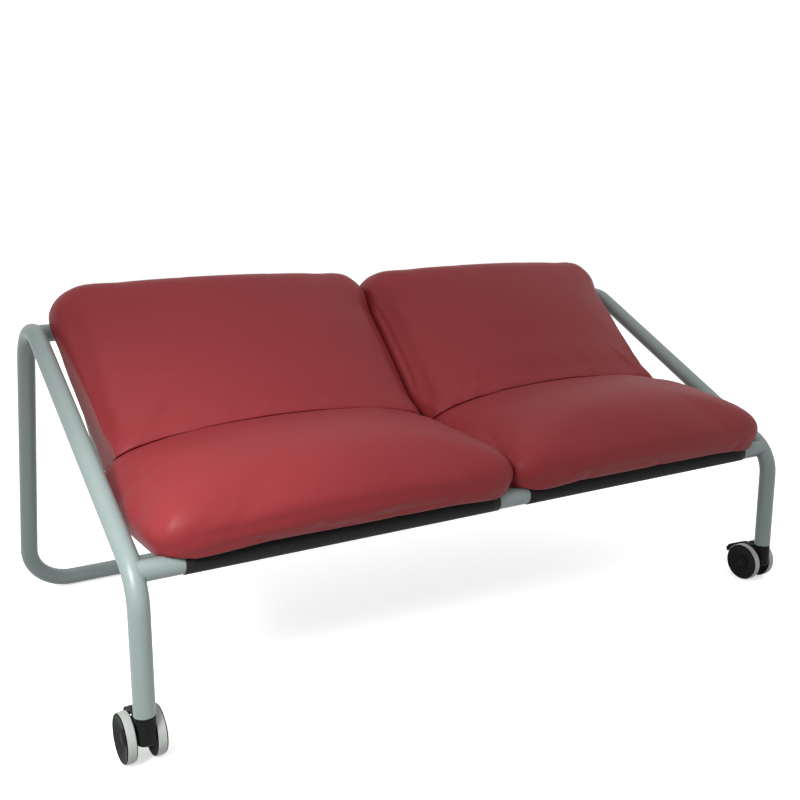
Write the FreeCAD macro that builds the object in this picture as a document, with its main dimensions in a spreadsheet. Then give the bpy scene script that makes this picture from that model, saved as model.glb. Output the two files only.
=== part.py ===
"""Two-seat lounge sofa: bent-tube frame on two front casters and a rear floor hoop.

Millimetres, +Z up, +X towards the right-hand end as seen from the front, front towards -Y.
The origin is on the floor, midway across and midway deep. Heights are from the floor, and
depths are measured from the front leg line.
"""
import FreeCAD, Part
import Sketcher
import math
import os

doc = FreeCAD.newDocument("office_sofa")
size = doc.addObject("Spreadsheet::Sheet", "size")

DRIVING_SIZES = [
    # Bent-tube frame
    ("tube_radius", 16),
    ("tube_wall", 2),
    ("side_x", 665),
    ("leg_line_y", -378),
    ("foot_height", 80),
    ("knee_height", 280),
    ("knee_radius", 78),
    ("top_y", 594),
    ("top_height", 602),
    ("top_radius", 82),
    ("rear_y", 754),
    ("rear_height", 18),
    ("rear_radius", 85),
    ("hoop_leg", 270),
    ("front_rail_y", 18.5),
    ("front_rail_height", 286),
    ("cope_gap", 4),
    # Cradle of slim bars under the cushions
    ("bar_radius", 8),
    ("bar_wall", 1.5),
    ("bar_height", 294),
    ("bar_x", 603),
    ("bar_bend", 40),
    ("bar_corner_y", 318),
    ("back_angle", 45),
    # Slings and the strips that hold the cushions to them
    ("sling_thick", 1.5),
    ("sling_inner_x", 33),
    ("sling_width", 560),
    ("strip_thick", 1.5),
    ("strip_width", 25),
    ("strip_length", 420),
    ("seat_strip_front_y", 60),
    ("seat_strip_rear_y", 225),
    ("back_strip_low", 250),
    ("back_strip_high", 60),
    # Cushions
    ("cushion_x", 316.5),
    ("cushion_width", 631),
    ("seat_crown_across", 1600),
    ("back_crown_across", 1350),
    ("seat_crown_along", 850),
    ("back_crown_along", 1500),
    ("crown_reach", 330),
    ("crown_lid", 60),
    ("crown_sweep", 40),
    ("seat_front_y", -10),
    ("seat_rear_y", 294),
    ("seat_heel_y", 271),
    ("seat_crown", 422),
    ("seat_crown_y", 185),
    ("back_overhang", 51),
    ("back_length", 389),
    ("back_toe", 40),
    ("back_toe_cut", 12),
    ("back_toe_thick", 30),
    ("back_slope_end", 30),
    ("back_thick", 123),
    ("back_crown_at", 200),
    ("back_rim", 46),
    ("back_shoulder", 47),
    ("seat_front_round", 52),
    ("seat_rear_round", 48),
    ("seat_crown_round", 44),
    ("back_top_round", 60),
    ("back_toe_round", 48),
    ("back_crown_round", 46),
    ("base_round", 14),
    ("foam_inset", 20),
    ("foam_seat_height", 52),
    ("foam_back_height", 46),
    # Glides under the rear hoop
    ("glide_x", 450),
    ("glide_length", 60),
    ("glide_foot_width", 22),
    ("glide_body_width", 36),
    ("glide_lip", 4),
    # Twin-wheel casters
    ("wheel_radius", 37.5),
    ("caster_trail", 27),
    ("axle_radius", 4),
    ("axle_half", 22),
    ("running_gap", 0.05),
    ("socket_flange", 3),
    ("socket_depth", 42),
    ("stem_radius", 5.5),
    ("stem_low", 50),
    ("stem_top", 117),
    ("stem_groove", 0.8),
    ("stem_groove_width", 2),
    ("stem_chamfer", 1.5),
    ("swivel_gap", 0.4),
    ("neck_radius", 15.5),
    ("column_low", 36),
    ("column_chamfer", 3),
    ("flank_reach", 8),
    ("neck_taper_low", 67),
    ("web_half", 12),
    ("hub_face", 13),
    ("hub_boss_radius", 9),
    ("hub_web_x", 18),
    ("hub_web_inner", 14),
    ("hub_web_outer", 27),
    ("hub_rim_radius", 31.5),
    ("hub_edge_radius", 36.3),
    ("hub_inner_x", 14.4),
    ("hub_outer_x", 30.3),
    ("tyre_inner_x", 15.6),
    ("tyre_outer_x", 28.4),
    ("tyre_edge", 0.8),
    ("cap_radius", 12.6),
    ("cap_seat_x", 22),
    ("cap_lip", 2),
    ("cap_shoulder", 5),
    ("cap_shoulder_radius", 9),
    ("cap_height", 6.5),
    ("pedal_pivot_y", 36),
    ("pedal_pivot_height", 60),
    ("pedal_pin_radius", 2),
    ("pedal_half", 7),
    ("pedal_barrel_radius", 6),
    ("pedal_slot_half", 7.6),
    ("pedal_slot_front", 28),
    ("pedal_slot_rear", 60),
    ("pedal_slot_floor", 50),
]

for row, (alias, value) in enumerate(DRIVING_SIZES, start=1):
    size.set(f"A{row}", alias.replace("_", " "))
    size.set(f"B{row}", str(value))
    size.setAlias(f"B{row}", alias)
doc.recompute()

# Derived places, written as expressions on the driving sizes.
TUBE_BORE = "(size.tube_radius - size.tube_wall)"
REAR_RUN = "(size.rear_y - size.top_y)"
REAR_DROP = "(size.top_height - size.rear_height)"
REAR_SPAN = f"sqrt({REAR_RUN}^2 + {REAR_DROP}^2)"
REAR_LEAN = f"atan({REAR_RUN} / {REAR_DROP})"
DIAGONAL_RISE = "atan((size.top_height - size.knee_height) / size.top_y)"
KNEE_TURN = f"(90 deg - {DIAGONAL_RISE})"
KNEE_CENTRE_Z = f"(size.knee_height - size.knee_radius * tan({KNEE_TURN} / 2))"
# The top bend's centre lies on the line that halves the angle between its two runs.
TOP_TURN = f"({DIAGONAL_RISE} + 90 deg - {REAR_LEAN})"
TOP_HALF_LINE = f"(90 deg + {DIAGONAL_RISE} - {TOP_TURN} / 2)"
TOP_REACH = f"(size.top_radius / cos({TOP_TURN} / 2))"
TOP_CENTRE_Y = f"(size.top_y - {TOP_REACH} * cos({TOP_HALF_LINE}))"
TOP_CENTRE_Z = f"(size.top_height - {TOP_REACH} * sin({TOP_HALF_LINE}))"
TOP_RAIL_Y = f"({TOP_CENTRE_Y} + size.top_radius * cos({TOP_HALF_LINE}))"
TOP_RAIL_Z = f"({TOP_CENTRE_Z} + size.top_radius * sin({TOP_HALF_LINE}))"
# The cradle rail sits where a flat sling touches it and the top rail together.
RAIL_STEP = "(size.tube_radius - size.bar_radius)"
CRADLE_RAIL_Y = (
    f"({TOP_RAIL_Y} - {RAIL_STEP} / cos(size.back_angle)"
    f" - ({TOP_RAIL_Z} - size.bar_height) * tan(size.back_angle))"
)
SLING_TOP = "(size.front_rail_height + size.tube_radius + size.sling_thick)"
SEAT_BOTTOM = f"({SLING_TOP} + size.strip_thick)"


def number(expression):
    """Return the value of an expression on the driving sizes as a plain number."""
    value = size.evalExpression(expression)
    return float(getattr(value, "Value", value))


def place(item, x="0", y="0", z="0"):
    """Bind an item's position; y is a depth behind the front leg line."""
    item.setExpression("Placement.Base.x", x)
    item.setExpression("Placement.Base.y", f"size.leg_line_y + {y}")
    item.setExpression("Placement.Base.z", z)


def turn(item, axis, angle):
    """Turn an item about an axis by an angle expression, before it is placed."""
    item.Placement.Rotation = FreeCAD.Rotation(axis, number(angle))
    item.setExpression("Placement.Rotation.Angle", angle)


X_AXIS = FreeCAD.Vector(1, 0, 0)
Y_AXIS = FreeCAD.Vector(0, 1, 0)


def new_body(label, x="0", y="0", z="0"):
    """Start a body with a label of its own, at a bound place."""
    body = doc.addObject("PartDesign::Body", label)
    body.Label = label
    place(body, x, y, z)
    return body


def new_sketch(body, name, role, offset="0"):
    """Put an empty sketch on one of the body's origin planes, moved along its normal."""
    sketch = body.newObject("Sketcher::SketchObject", f"{body.Label}_{name}")
    plane = [item for item in body.Origin.OriginFeatures if item.Role == role][0]
    sketch.AttachmentSupport = [(plane, "")]
    sketch.MapMode = "FlatFace"
    if offset != "0":
        sketch.setExpression("AttachmentOffset.Base.z", offset)
    return sketch


def tie_point(sketch, shape_id, point_id, across, up):
    """Fix a sketch point by two bound distances from the sketch's origin."""
    for kind, expression in (("DistanceX", across), ("DistanceY", up)):
        rule = Sketcher.Constraint(kind, -1, 1, shape_id, point_id, number(expression))
        index = sketch.addConstraint(rule)
        sketch.setExpression(f"Constraints[{index}]", expression)


def tie_radius(sketch, shape_id, expression):
    """Bind the radius of one sketch curve."""
    index = sketch.addConstraint(Sketcher.Constraint("Radius", shape_id, number(expression)))
    sketch.setExpression(f"Constraints[{index}]", expression)


def flat_point(across, up):
    """Return a sketch point from two expressions."""
    return FreeCAD.Vector(number(across), number(up), 0)


def outline(body, name, role, corners):
    """Draw a closed straight-sided outline whose corners are bound to the sizes."""
    sketch = new_sketch(body, name, role)
    points = [flat_point(across, up) for across, up in corners]
    count = len(points)
    for k in range(count):
        sketch.addGeometry(Part.LineSegment(points[k], points[(k + 1) % count]), False)
    for k in range(count):
        sketch.addConstraint(Sketcher.Constraint("Coincident", k, 2, (k + 1) % count, 1))
    for k, (across, up) in enumerate(corners):
        tie_point(sketch, k, 1, across, up)
    return sketch


def circles(body, name, role, rounds, offset="0"):
    """Draw circles, each given by its centre and radius expressions."""
    sketch = new_sketch(body, name, role, offset)
    for across, up, radius in rounds:
        ring = Part.Circle(flat_point(across, up), FreeCAD.Vector(0, 0, 1), number(radius))
        index = sketch.addGeometry(ring, False)
        tie_point(sketch, index, 3, across, up)
        tie_radius(sketch, index, radius)
    return sketch


def bent_path(body, name, role, stops, radii):
    """Draw a tube's centre line: straight runs through the stops, with tangent bends."""
    sketch = new_sketch(body, name, role)
    points = [flat_point(across, up) for across, up in stops]
    run_start = points[0]
    last_bend = None
    for k, radius in enumerate(radii, start=1):
        before = (points[k - 1] - points[k]).normalize()
        after = (points[k + 1] - points[k]).normalize()
        half_angle = before.getAngle(after) / 2
        reach = number(radius) / math.tan(half_angle)
        middle = (before + after).normalize()
        centre = points[k] + middle * (number(radius) / math.sin(half_angle))
        bend_start = points[k] + before * reach
        bend_end = points[k] + after * reach
        on_bend = centre - middle * number(radius)
        run = sketch.addGeometry(Part.LineSegment(run_start, bend_start), False)
        bend = sketch.addGeometry(Part.Arc(bend_start, on_bend, bend_end), False)
        leftward = before.cross(after).z < 0
        enter, leave = (1, 2) if leftward else (2, 1)
        if last_bend is None:
            tie_point(sketch, run, 1, *stops[0])
        else:
            sketch.addConstraint(Sketcher.Constraint("Tangent", *last_bend, run, 1))
        sketch.addConstraint(Sketcher.Constraint("Tangent", run, 2, bend, enter))
        tie_radius(sketch, bend, radius)
        corner = sketch.addGeometry(Part.Point(points[k]), True)
        tie_point(sketch, corner, 1, *stops[k])
        sketch.addConstraint(Sketcher.Constraint("PointOnObject", corner, 1, run))
        last_bend = (bend, leave)
        last_corner = corner
        run_start = bend_end
    run = sketch.addGeometry(Part.LineSegment(run_start, points[-1]), False)
    sketch.addConstraint(Sketcher.Constraint("Tangent", *last_bend, run, 1))
    sketch.addConstraint(Sketcher.Constraint("PointOnObject", last_corner, 1, run))
    tie_point(sketch, run, 2, *stops[-1])
    for k in range(1, len(radii)):
        next_run = 3 * k
        sketch.addConstraint(Sketcher.Constraint("PointOnObject", 3 * k - 1, 1, next_run))
    return sketch


def bent_tube(body, stops, radii, path_role, ring_role, ring_centre, ring_offset, radius, bore):
    """Sweep a tube's ring section along its bent centre line."""
    path = bent_path(body, "path", path_role, stops, radii)
    ring = circles(
        body, "ring", ring_role, [(*ring_centre, radius), (*ring_centre, bore)], ring_offset
    )
    doc.recompute()
    pipe = body.newObject("PartDesign::AdditivePipe", f"{body.Label}_pipe")
    pipe.Profile = ring
    pipe.Spine = (path, [f"Edge{k + 1}" for k in range(len(path.Shape.Edges))])
    return body


def pad(body, sketch, length):
    """Raise a sketch to a bound length, half to each side of its plane."""
    feature = body.newObject("PartDesign::Pad", f"{sketch.Name}_pad")
    feature.Profile = sketch
    feature.setExpression("Length", length)
    feature.Midplane = True
    return feature


def pocket_through(body, sketch):
    """Cut a sketch right through the body, both ways."""
    feature = body.newObject("PartDesign::Pocket", f"{sketch.Name}_cut")
    feature.Profile = sketch
    feature.Type = "ThroughAll"
    feature.Midplane = True
    return feature


def revolve(body, name, corners, axis):
    """Revolve a closed outline in the body's XZ plane about one of the body's own axes."""
    sketch = outline(body, name, "XZ_Plane", corners)
    feature = body.newObject("PartDesign::Revolution", f"{sketch.Name}_turned")
    feature.Profile = sketch
    line = [item for item in body.Origin.OriginFeatures if item.Role == axis][0]
    feature.ReferenceAxis = (line, [""])
    feature.Angle = 360
    return feature


def round_edges(body, base, radius, chosen):
    """Round the edges of a feature that a test on the edge picks out."""
    doc.recompute()
    names = [f"Edge{k}" for k, edge in enumerate(base.Shape.Edges, start=1) if chosen(edge)]
    feature = body.newObject("PartDesign::Fillet", f"{base.Name}_round")
    feature.Base = (base, names)
    feature.setExpression("Radius", radius)
    doc.recompute()
    return feature


ALONG_X = FreeCAD.Rotation(Y_AXIS, 90)
ALONG_Y = FreeCAD.Rotation(X_AXIS, -90)


def rod(name, radius, length, x, y, z, way=ALONG_X):
    """Make a solid round rod that runs one way from its place."""
    item = doc.addObject("Part::Cylinder", name)
    item.setExpression("Radius", radius)
    item.setExpression("Height", length)
    item.Placement.Rotation = way
    place(item, x, y, z)
    return item


def fuse(name, items):
    """Join several solids into one."""
    item = doc.addObject("Part::MultiFuse", name)
    item.Shapes = items
    return item


def cut(label, base, tools):
    """Take the tool solids out of a base solid."""
    item = doc.addObject("Part::Cut", label)
    item.Label = label
    item.Base = base
    item.Tool = tools[0] if len(tools) == 1 else fuse(f"{label}_tools", tools)
    return item


def group(label, items):
    """Keep several separate solids as one sub-part."""
    item = doc.addObject("Part::Compound", label)
    item.Label = label
    item.Links = items
    return item


SIDES = (("left", "-"), ("right", ""))


# Frame tubes

def side_tube(side, sign):
    """Bend one side: leg, knee, sloping arm, top bend and the upper rear upright."""
    body = new_body(f"{side}_side_tube", f"{sign}size.side_x")
    end = (
        f"size.rear_y - size.hoop_leg * {REAR_RUN} / {REAR_SPAN}",
        f"size.rear_height + size.hoop_leg * {REAR_DROP} / {REAR_SPAN}",
    )
    stops = [
        ("0", "size.foot_height"),
        ("0", "size.knee_height"),
        ("size.top_y", "size.top_height"),
        end,
    ]
    return bent_tube(
        body, stops, ["size.knee_radius", "size.top_radius"], "YZ_Plane",
        "XY_Plane", ("0", "0"), "size.foot_height", "size.tube_radius", TUBE_BORE,
    )


def rear_hoop():
    """Bend the U that joins both uprights along the floor, in the uprights' own plane."""
    body = new_body("rear_hoop", "0", "size.rear_y", "size.rear_height")
    turn(body, X_AXIS, REAR_LEAN)
    stops = [
        ("-size.side_x", "size.hoop_leg"),
        ("-size.side_x", "0"),
        ("size.side_x", "0"),
        ("size.side_x", "size.hoop_leg"),
    ]
    return bent_tube(
        body, stops, ["size.rear_radius", "size.rear_radius"], "XZ_Plane",
        "XY_Plane", ("-size.side_x", "0"), "size.hoop_leg", "size.tube_radius", TUBE_BORE,
    )


def bend_envelope(name, sign, radius, y, z):
    """Make the full ring that one bend of a side tube is part of, for coping a rail."""
    item = doc.addObject("Part::Torus", name)
    item.setExpression("Radius1", radius)
    item.setExpression("Radius2", "size.tube_radius")
    item.Placement.Rotation = ALONG_X
    place(item, f"{sign}size.side_x", y, z)
    return item


def coped_rail(label, y, z, bend_radius, bend_y, bend_z):
    """Make a straight tube between the sides, its ends coped to the side bends."""
    half = "(size.side_x - size.cope_gap)"
    outside = rod(f"{label}_outside", "size.tube_radius", f"2 * {half}", f"-{half}", y, z)
    inside = rod(f"{label}_bore", TUBE_BORE, f"2 * {half}", f"-{half}", y, z)
    bends = [
        bend_envelope(f"{label}_{side}_bend", sign, bend_radius, bend_y, bend_z)
        for side, sign in SIDES
    ]
    return outside, cut(label, outside, [inside, *bends])


side_tubes = [side_tube(side, sign) for side, sign in SIDES]
hoop = rear_hoop()
front_rail_outside, front_rail = coped_rail(
    "front_rail", "size.front_rail_y", "size.front_rail_height",
    "size.knee_radius", "size.knee_radius", KNEE_CENTRE_Z,
)
top_rail_outside, top_rail = coped_rail(
    "top_rail", TOP_RAIL_Y, TOP_RAIL_Z, "size.top_radius", TOP_CENTRE_Y, TOP_CENTRE_Z,
)


# Cradle bars

def cradle_bar(label, x):
    """Bend one slim bar from the front rail, under the seat and up to the top rail."""
    body = new_body(f"{label}_blank", x)
    stops = [
        ("size.front_rail_y", "size.bar_height"),
        ("size.bar_corner_y", "size.bar_height"),
        (TOP_RAIL_Y, TOP_RAIL_Z),
    ]
    bent_tube(
        body, stops, ["size.bar_bend"], "YZ_Plane", "XZ_Plane", ("0", "size.bar_height"),
        "-size.front_rail_y", "size.bar_radius", "size.bar_radius - size.bar_wall",
    )
    return cut(label, body, [front_rail_outside, top_rail_outside])


def cradle_rail(side, outside):
    """Make one cross rail between a side bar and the centre bar, coped to both."""
    label = f"{side}_cradle_rail"
    length = "(size.bar_x - size.cope_gap)"
    start = f"-{length} - size.cope_gap / 2" if side == "left" else "size.cope_gap / 2"
    blank = rod(
        f"{label}_blank", "size.bar_radius", length, start, CRADLE_RAIL_Y, "size.bar_height"
    )
    bore = rod(
        f"{label}_bore", "size.bar_radius - size.bar_wall", length, start,
        CRADLE_RAIL_Y, "size.bar_height",
    )
    return cut(label, blank, [bore, *outside])


def bar_envelope(name, x):
    """Make the solid rod that a cradle bar's seat run is part of, for coping a rail."""
    return rod(name, "size.bar_radius", "size.bar_corner_y", x, "0", "size.bar_height", ALONG_Y)


cradle_bars = [
    cradle_bar("left_cradle_bar", "-size.bar_x"),
    cradle_bar("centre_cradle_bar", "0"),
    cradle_bar("right_cradle_bar", "size.bar_x"),
]
centre_envelope = bar_envelope("centre_bar_envelope", "0")
cradle_rails = [
    cradle_rail(side, [bar_envelope(f"{side}_bar_envelope", f"{sign}size.bar_x"), centre_envelope])
    for side, sign in SIDES
]
cradle_rail_outside = rod(
    "cradle_rail_outside", "size.bar_radius", "2 * size.bar_x", "-size.bar_x",
    CRADLE_RAIL_Y, "size.bar_height",
)


# Slings, with a tunnel round each rail

BACK_SLOPE = "(90 - size.back_angle)"
ALONG_BACK_Y = "sin(size.back_angle)"
ALONG_BACK_Z = "cos(size.back_angle)"


def off_back(out, along, axis):
    """Give the place that is out in front of the top rail's centre and along the back."""
    if axis == "y":
        return f"({TOP_RAIL_Y} - ({out}) * cos(size.back_angle) + ({along}) * {ALONG_BACK_Y})"
    return f"({TOP_RAIL_Z} + ({out}) * sin(size.back_angle) + ({along}) * {ALONG_BACK_Z})"


def slab(name, length, width, height, x, y, z):
    """Make a flat rectangular piece lying level."""
    item = doc.addObject("Part::Box", name)
    item.setExpression("Length", length)
    item.setExpression("Width", width)
    item.setExpression("Height", height)
    place(item, x, y, z)
    return item


def back_slab(name, length, width, height, x, out, along):
    """Make a flat rectangular piece lying on the slope of the back."""
    item = slab(name, length, width, height, x, off_back(out, along, "y"), off_back(out, along, "z"))
    turn(item, X_AXIS, BACK_SLOPE)
    return item


BACK_SPAN = (
    f"(({TOP_RAIL_Y} - {CRADLE_RAIL_Y}) * {ALONG_BACK_Y}"
    f" + ({TOP_RAIL_Z} - size.bar_height) * {ALONG_BACK_Z})"
)


def sling(side):
    """Stretch one black sling over the front rail, the cradle rail and the top rail."""
    label = f"{side}_sling"
    start = "-size.sling_inner_x - size.sling_width" if side == "left" else "size.sling_inner_x"
    wide = "size.sling_width"
    around_tube = "size.tube_radius + size.sling_thick"
    around_bar = "size.bar_radius + size.sling_thick"
    rails = [
        ("front", around_tube, "size.front_rail_y", "size.front_rail_height"),
        ("middle", around_bar, CRADLE_RAIL_Y, "size.bar_height"),
        ("top", around_tube, TOP_RAIL_Y, TOP_RAIL_Z),
    ]
    tunnels = [rod(f"{label}_{name}", radius, wide, start, y, z) for name, radius, y, z in rails]
    seat = slab(
        f"{label}_seat", wide, f"{CRADLE_RAIL_Y} - size.front_rail_y", "size.sling_thick",
        start, "size.front_rail_y", f"{SLING_TOP} - size.sling_thick",
    )
    back = back_slab(
        f"{label}_back", wide, BACK_SPAN, "size.sling_thick", start,
        "size.tube_radius", f"-{BACK_SPAN}",
    )
    cloth = fuse(f"{label}_cloth", [*tunnels, seat, back])
    return cut(label, cloth, [front_rail_outside, cradle_rail_outside, top_rail_outside])


def grip_strips(side, sign):
    """Lay the hook-and-loop strips that hold one seat's two cushions to its sling."""
    label = f"{side}_grip_strips"
    start = f"{sign}size.cushion_x - size.strip_length / 2"
    wide = ("size.strip_length", "size.strip_width", "size.strip_thick")
    on_sling = "size.tube_radius + size.sling_thick"
    strips = [
        slab(f"{label}_front", *wide, start, "size.seat_strip_front_y", SLING_TOP),
        slab(f"{label}_rear", *wide, start, "size.seat_strip_rear_y", SLING_TOP),
        back_slab(f"{label}_low", *wide, start, on_sling, "-size.back_strip_low"),
        back_slab(f"{label}_high", *wide, start, on_sling, "-size.back_strip_high"),
    ]
    return group(label, strips)


slings = [sling(side) for side, sign in SIDES]
strips = [grip_strips(side, sign) for side, sign in SIDES]


# Cushions

def crown(body, block, peak_across, peak_up, across_radius, along_radius):
    """Groove the top of a cushion blank to a crown that falls away both ways."""
    sketch = new_sketch(body, "crown", "YZ_Plane")
    top = f"{peak_up} + size.crown_lid"
    centre_up = f"{peak_up} - {along_radius}"
    left = f"{peak_across} - size.crown_reach"
    right = f"{peak_across} + size.crown_reach"
    low = f"{centre_up} + sqrt({along_radius}^2 - size.crown_reach^2)"
    peak = flat_point(peak_across, peak_up)
    low_left = flat_point(left, low)
    low_right = flat_point(right, low)
    high_left = flat_point(left, top)
    high_right = flat_point(right, top)
    arc = sketch.addGeometry(Part.Arc(low_right, peak, low_left), False)
    rise = sketch.addGeometry(Part.LineSegment(low_left, high_left), False)
    lid = sketch.addGeometry(Part.LineSegment(high_left, high_right), False)
    fall = sketch.addGeometry(Part.LineSegment(high_right, low_right), False)
    for first, second in ((arc, rise), (rise, lid), (lid, fall), (fall, arc)):
        sketch.addConstraint(Sketcher.Constraint("Coincident", first, 2, second, 1))
    tie_point(sketch, arc, 3, peak_across, centre_up)
    tie_radius(sketch, arc, along_radius)
    tie_point(sketch, lid, 1, left, top)
    tie_point(sketch, lid, 2, right, top)
    sketch.addConstraint(Sketcher.Constraint("Vertical", rise))
    sketch.addConstraint(Sketcher.Constraint("Vertical", fall))
    axis_up = f"{peak_up} - {across_radius}"
    axis_start = flat_point(left, axis_up)
    axis_end = flat_point(right, axis_up)
    axis = sketch.addGeometry(Part.LineSegment(axis_start, axis_end), True)
    tie_point(sketch, axis, 1, left, axis_up)
    tie_point(sketch, axis, 2, right, axis_up)
    doc.recompute()
    whole = block.Shape.Volume
    feature = body.newObject("PartDesign::Groove", f"{sketch.Name}_groove")
    feature.Profile = sketch
    feature.ReferenceAxis = (sketch, ["Axis0"])
    feature.setExpression("Angle", "size.crown_sweep")
    feature.Midplane = True
    doc.recompute()
    if feature.Shape.Volume >= whole:
        raise RuntimeError(f"{body.Label}: the crown cut nothing")
    return feature


def on_crown(base):
    """Return a test that picks the edges round a cushion's crowned face."""
    plain = ("Part::GeomPlane", "Part::GeomCylinder")
    curved = [face for face in base.Shape.Faces if face.Surface.TypeId not in plain]
    crowned = max(curved, key=lambda face: face.Area)
    codes = {edge.hashCode() for edge in crowned.Edges}
    return lambda edge: edge.hashCode() in codes


def upright_corner(across):
    """Return a test that picks the cushion's upright side edges within a span of depths."""
    half_width = number("size.cushion_width") / 2
    low, high = (number(limit) for limit in across)

    def chosen(edge):
        ends = [vertex.Point for vertex in edge.Vertexes]
        at_side = abs(abs(sum(point.x for point in ends)) - 2 * half_width) < 0.01
        return at_side and all(low - 0.01 < point.y < high + 0.01 for point in ends)

    return chosen


def cushion(label, foam_label, corners, peak, rounds, crown_round, foam_corners, at, lean=None):
    """Make one cushion's padded cover and the foam block inside it."""
    blank = new_body(f"{label}_blank", *at)
    foam = new_body(foam_label, *at)
    for body in (blank, foam):
        if lean:
            turn(body, X_AXIS, lean)
    profile = outline(blank, "profile", "YZ_Plane", corners)
    block = pad(blank, profile, "size.cushion_width")
    doc.recompute()
    shaped = crown(blank, block, *peak)
    for across, radius in rounds:
        shaped = round_edges(blank, shaped, radius, upright_corner(across))
    shaped = round_edges(blank, shaped, crown_round, on_crown(shaped))
    base_up = min(number(up) for across, up in corners)
    round_edges(
        blank, shaped, "size.base_round",
        lambda edge: all(abs(vertex.Point.z - base_up) < 0.01 for vertex in edge.Vertexes),
    )
    foam_profile = outline(foam, "profile", "YZ_Plane", foam_corners)
    pad(foam, foam_profile, "size.cushion_width - 2 * size.foam_inset")
    return cut(label, blank, [foam]), foam


def seat_cushion(side, sign):
    """Make one seat cushion, resting level on its strips."""
    heel_rise = "(size.seat_rear_y - size.seat_heel_y)"
    corners = [
        ("size.seat_front_y", SEAT_BOTTOM),
        ("size.seat_heel_y", SEAT_BOTTOM),
        ("size.seat_rear_y", f"{SEAT_BOTTOM} + {heel_rise}"),
        ("size.seat_rear_y", "size.seat_crown"),
        ("size.seat_front_y", "size.seat_crown"),
    ]
    foam_low = f"{SEAT_BOTTOM} + size.foam_inset / 2"
    foam_corners = [
        ("size.seat_front_y + size.foam_inset", foam_low),
        ("size.seat_heel_y - size.foam_inset / 2", foam_low),
        ("size.seat_heel_y - size.foam_inset / 2", f"{foam_low} + size.foam_seat_height"),
        ("size.seat_front_y + size.foam_inset", f"{foam_low} + size.foam_seat_height"),
    ]
    rounds = [
        (("size.seat_front_y", "size.seat_front_y"), "size.seat_front_round"),
        (("size.seat_rear_y", "size.seat_rear_y"), "size.seat_rear_round"),
    ]
    return cushion(
        f"{side}_seat_cover", f"{side}_seat_foam", corners,
        ("size.seat_crown_y", "size.seat_crown", "size.seat_crown_across", "size.seat_crown_along"),
        rounds, "size.seat_crown_round", foam_corners, (f"{sign}size.cushion_x", "0", "0"),
    )


def back_cushion(side, sign):
    """Make one back cushion, lying on the slope of the back with its toe behind the seat."""
    out = "size.tube_radius + size.sling_thick + size.strip_thick"
    along = "size.back_overhang - size.back_length"
    corners = [
        ("size.back_toe", "0"),
        ("size.back_length", "0"),
        ("size.back_length", "size.back_rim"),
        ("size.back_length - size.back_shoulder", "size.back_thick"),
        ("size.back_slope_end", "size.back_thick"),
        ("size.back_toe - size.back_toe_cut", "size.back_toe_thick"),
    ]
    foam_low = "size.foam_inset / 2"
    foam_high = f"{foam_low} + size.foam_back_height"
    foam_corners = [
        ("size.back_toe + 2 * size.foam_inset", foam_low),
        ("size.back_length - size.foam_inset", foam_low),
        ("size.back_length - size.foam_inset", foam_high),
        ("size.back_toe + 3 * size.foam_inset", foam_high),
    ]
    rounds = [
        (("size.back_length - size.back_shoulder", "size.back_length"), "size.back_top_round"),
        (("size.back_toe - size.back_toe_cut", "size.back_slope_end"), "size.back_toe_round"),
    ]
    at = (f"{sign}size.cushion_x", off_back(out, along, "y"), off_back(out, along, "z"))
    return cushion(
        f"{side}_back_cover", f"{side}_back_foam", corners,
        ("size.back_crown_at", "size.back_thick", "size.back_crown_across", "size.back_crown_along"),
        rounds, "size.back_crown_round", foam_corners, at, BACK_SLOPE,
    )


cushions = []
for side, sign in SIDES:
    cushions.extend(seat_cushion(side, sign))
    cushions.extend(back_cushion(side, sign))


# Glides that keep the rear hoop off the floor

def glide(name, x):
    """Make one snap-on saddle with a flat foot, wrapping the lower half of the tube."""
    body = new_body(name, x, "size.rear_y")
    lip_height = "size.rear_height + size.glide_lip"
    foot = "size.glide_foot_width / 2"
    half = "size.glide_body_width / 2"
    profile = outline(body, "profile", "YZ_Plane", [
        (f"-{foot}", "0"), (foot, "0"), (half, "size.rear_height / 2"), (half, lip_height),
        (f"-{half}", lip_height), (f"-{half}", "size.rear_height / 2"),
    ])
    pad(body, profile, "size.glide_length")
    seat = circles(body, "seat", "YZ_Plane", [("0", "size.rear_height", "size.tube_radius")])
    doc.recompute()
    pocket_through(body, seat)
    return body


glides = group(
    "rear_floor_glides",
    [glide(f"{side}_glide", f"{sign}size.glide_x") for side, sign in SIDES],
)


# Casters: the swivel axis is the leg's, and the axle trails behind it

# Side views, as depth behind the swivel axis and height above the floor.
WEB_CORNERS = [
    ("0", "66.5"), ("0", "size.column_low"), ("6", "31"), ("size.caster_trail", "24"), ("44", "28"),
    ("54", "42"), ("52", "55"), ("38", "63"), ("14", "66.5"),
]
LEVER_CORNERS = [
    ("20", "69.2"), ("20", "72.4"), ("47", "72"), ("80", "57"), ("86", "49"), ("84", "41"),
    ("80", "42"), ("77", "51"), ("48", "64.5"), ("41", "60"), ("31", "60"), ("30", "69.2"),
]


def leg_socket(side, sign):
    """Make the plastic socket pressed into the leg, with a flange under the tube's end."""
    body = new_body(f"{side}_leg_socket", f"{sign}size.side_x", "0", "size.foot_height")
    hole = "size.stem_radius + size.running_gap"
    revolve(body, "profile", [
        (hole, "-size.socket_flange"),
        ("size.tube_radius", "-size.socket_flange"),
        ("size.tube_radius", "0"),
        (TUBE_BORE, "0"),
        (TUBE_BORE, "size.socket_depth"),
        (hole, "size.socket_depth"),
    ], "Z_Axis")
    return body


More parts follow.
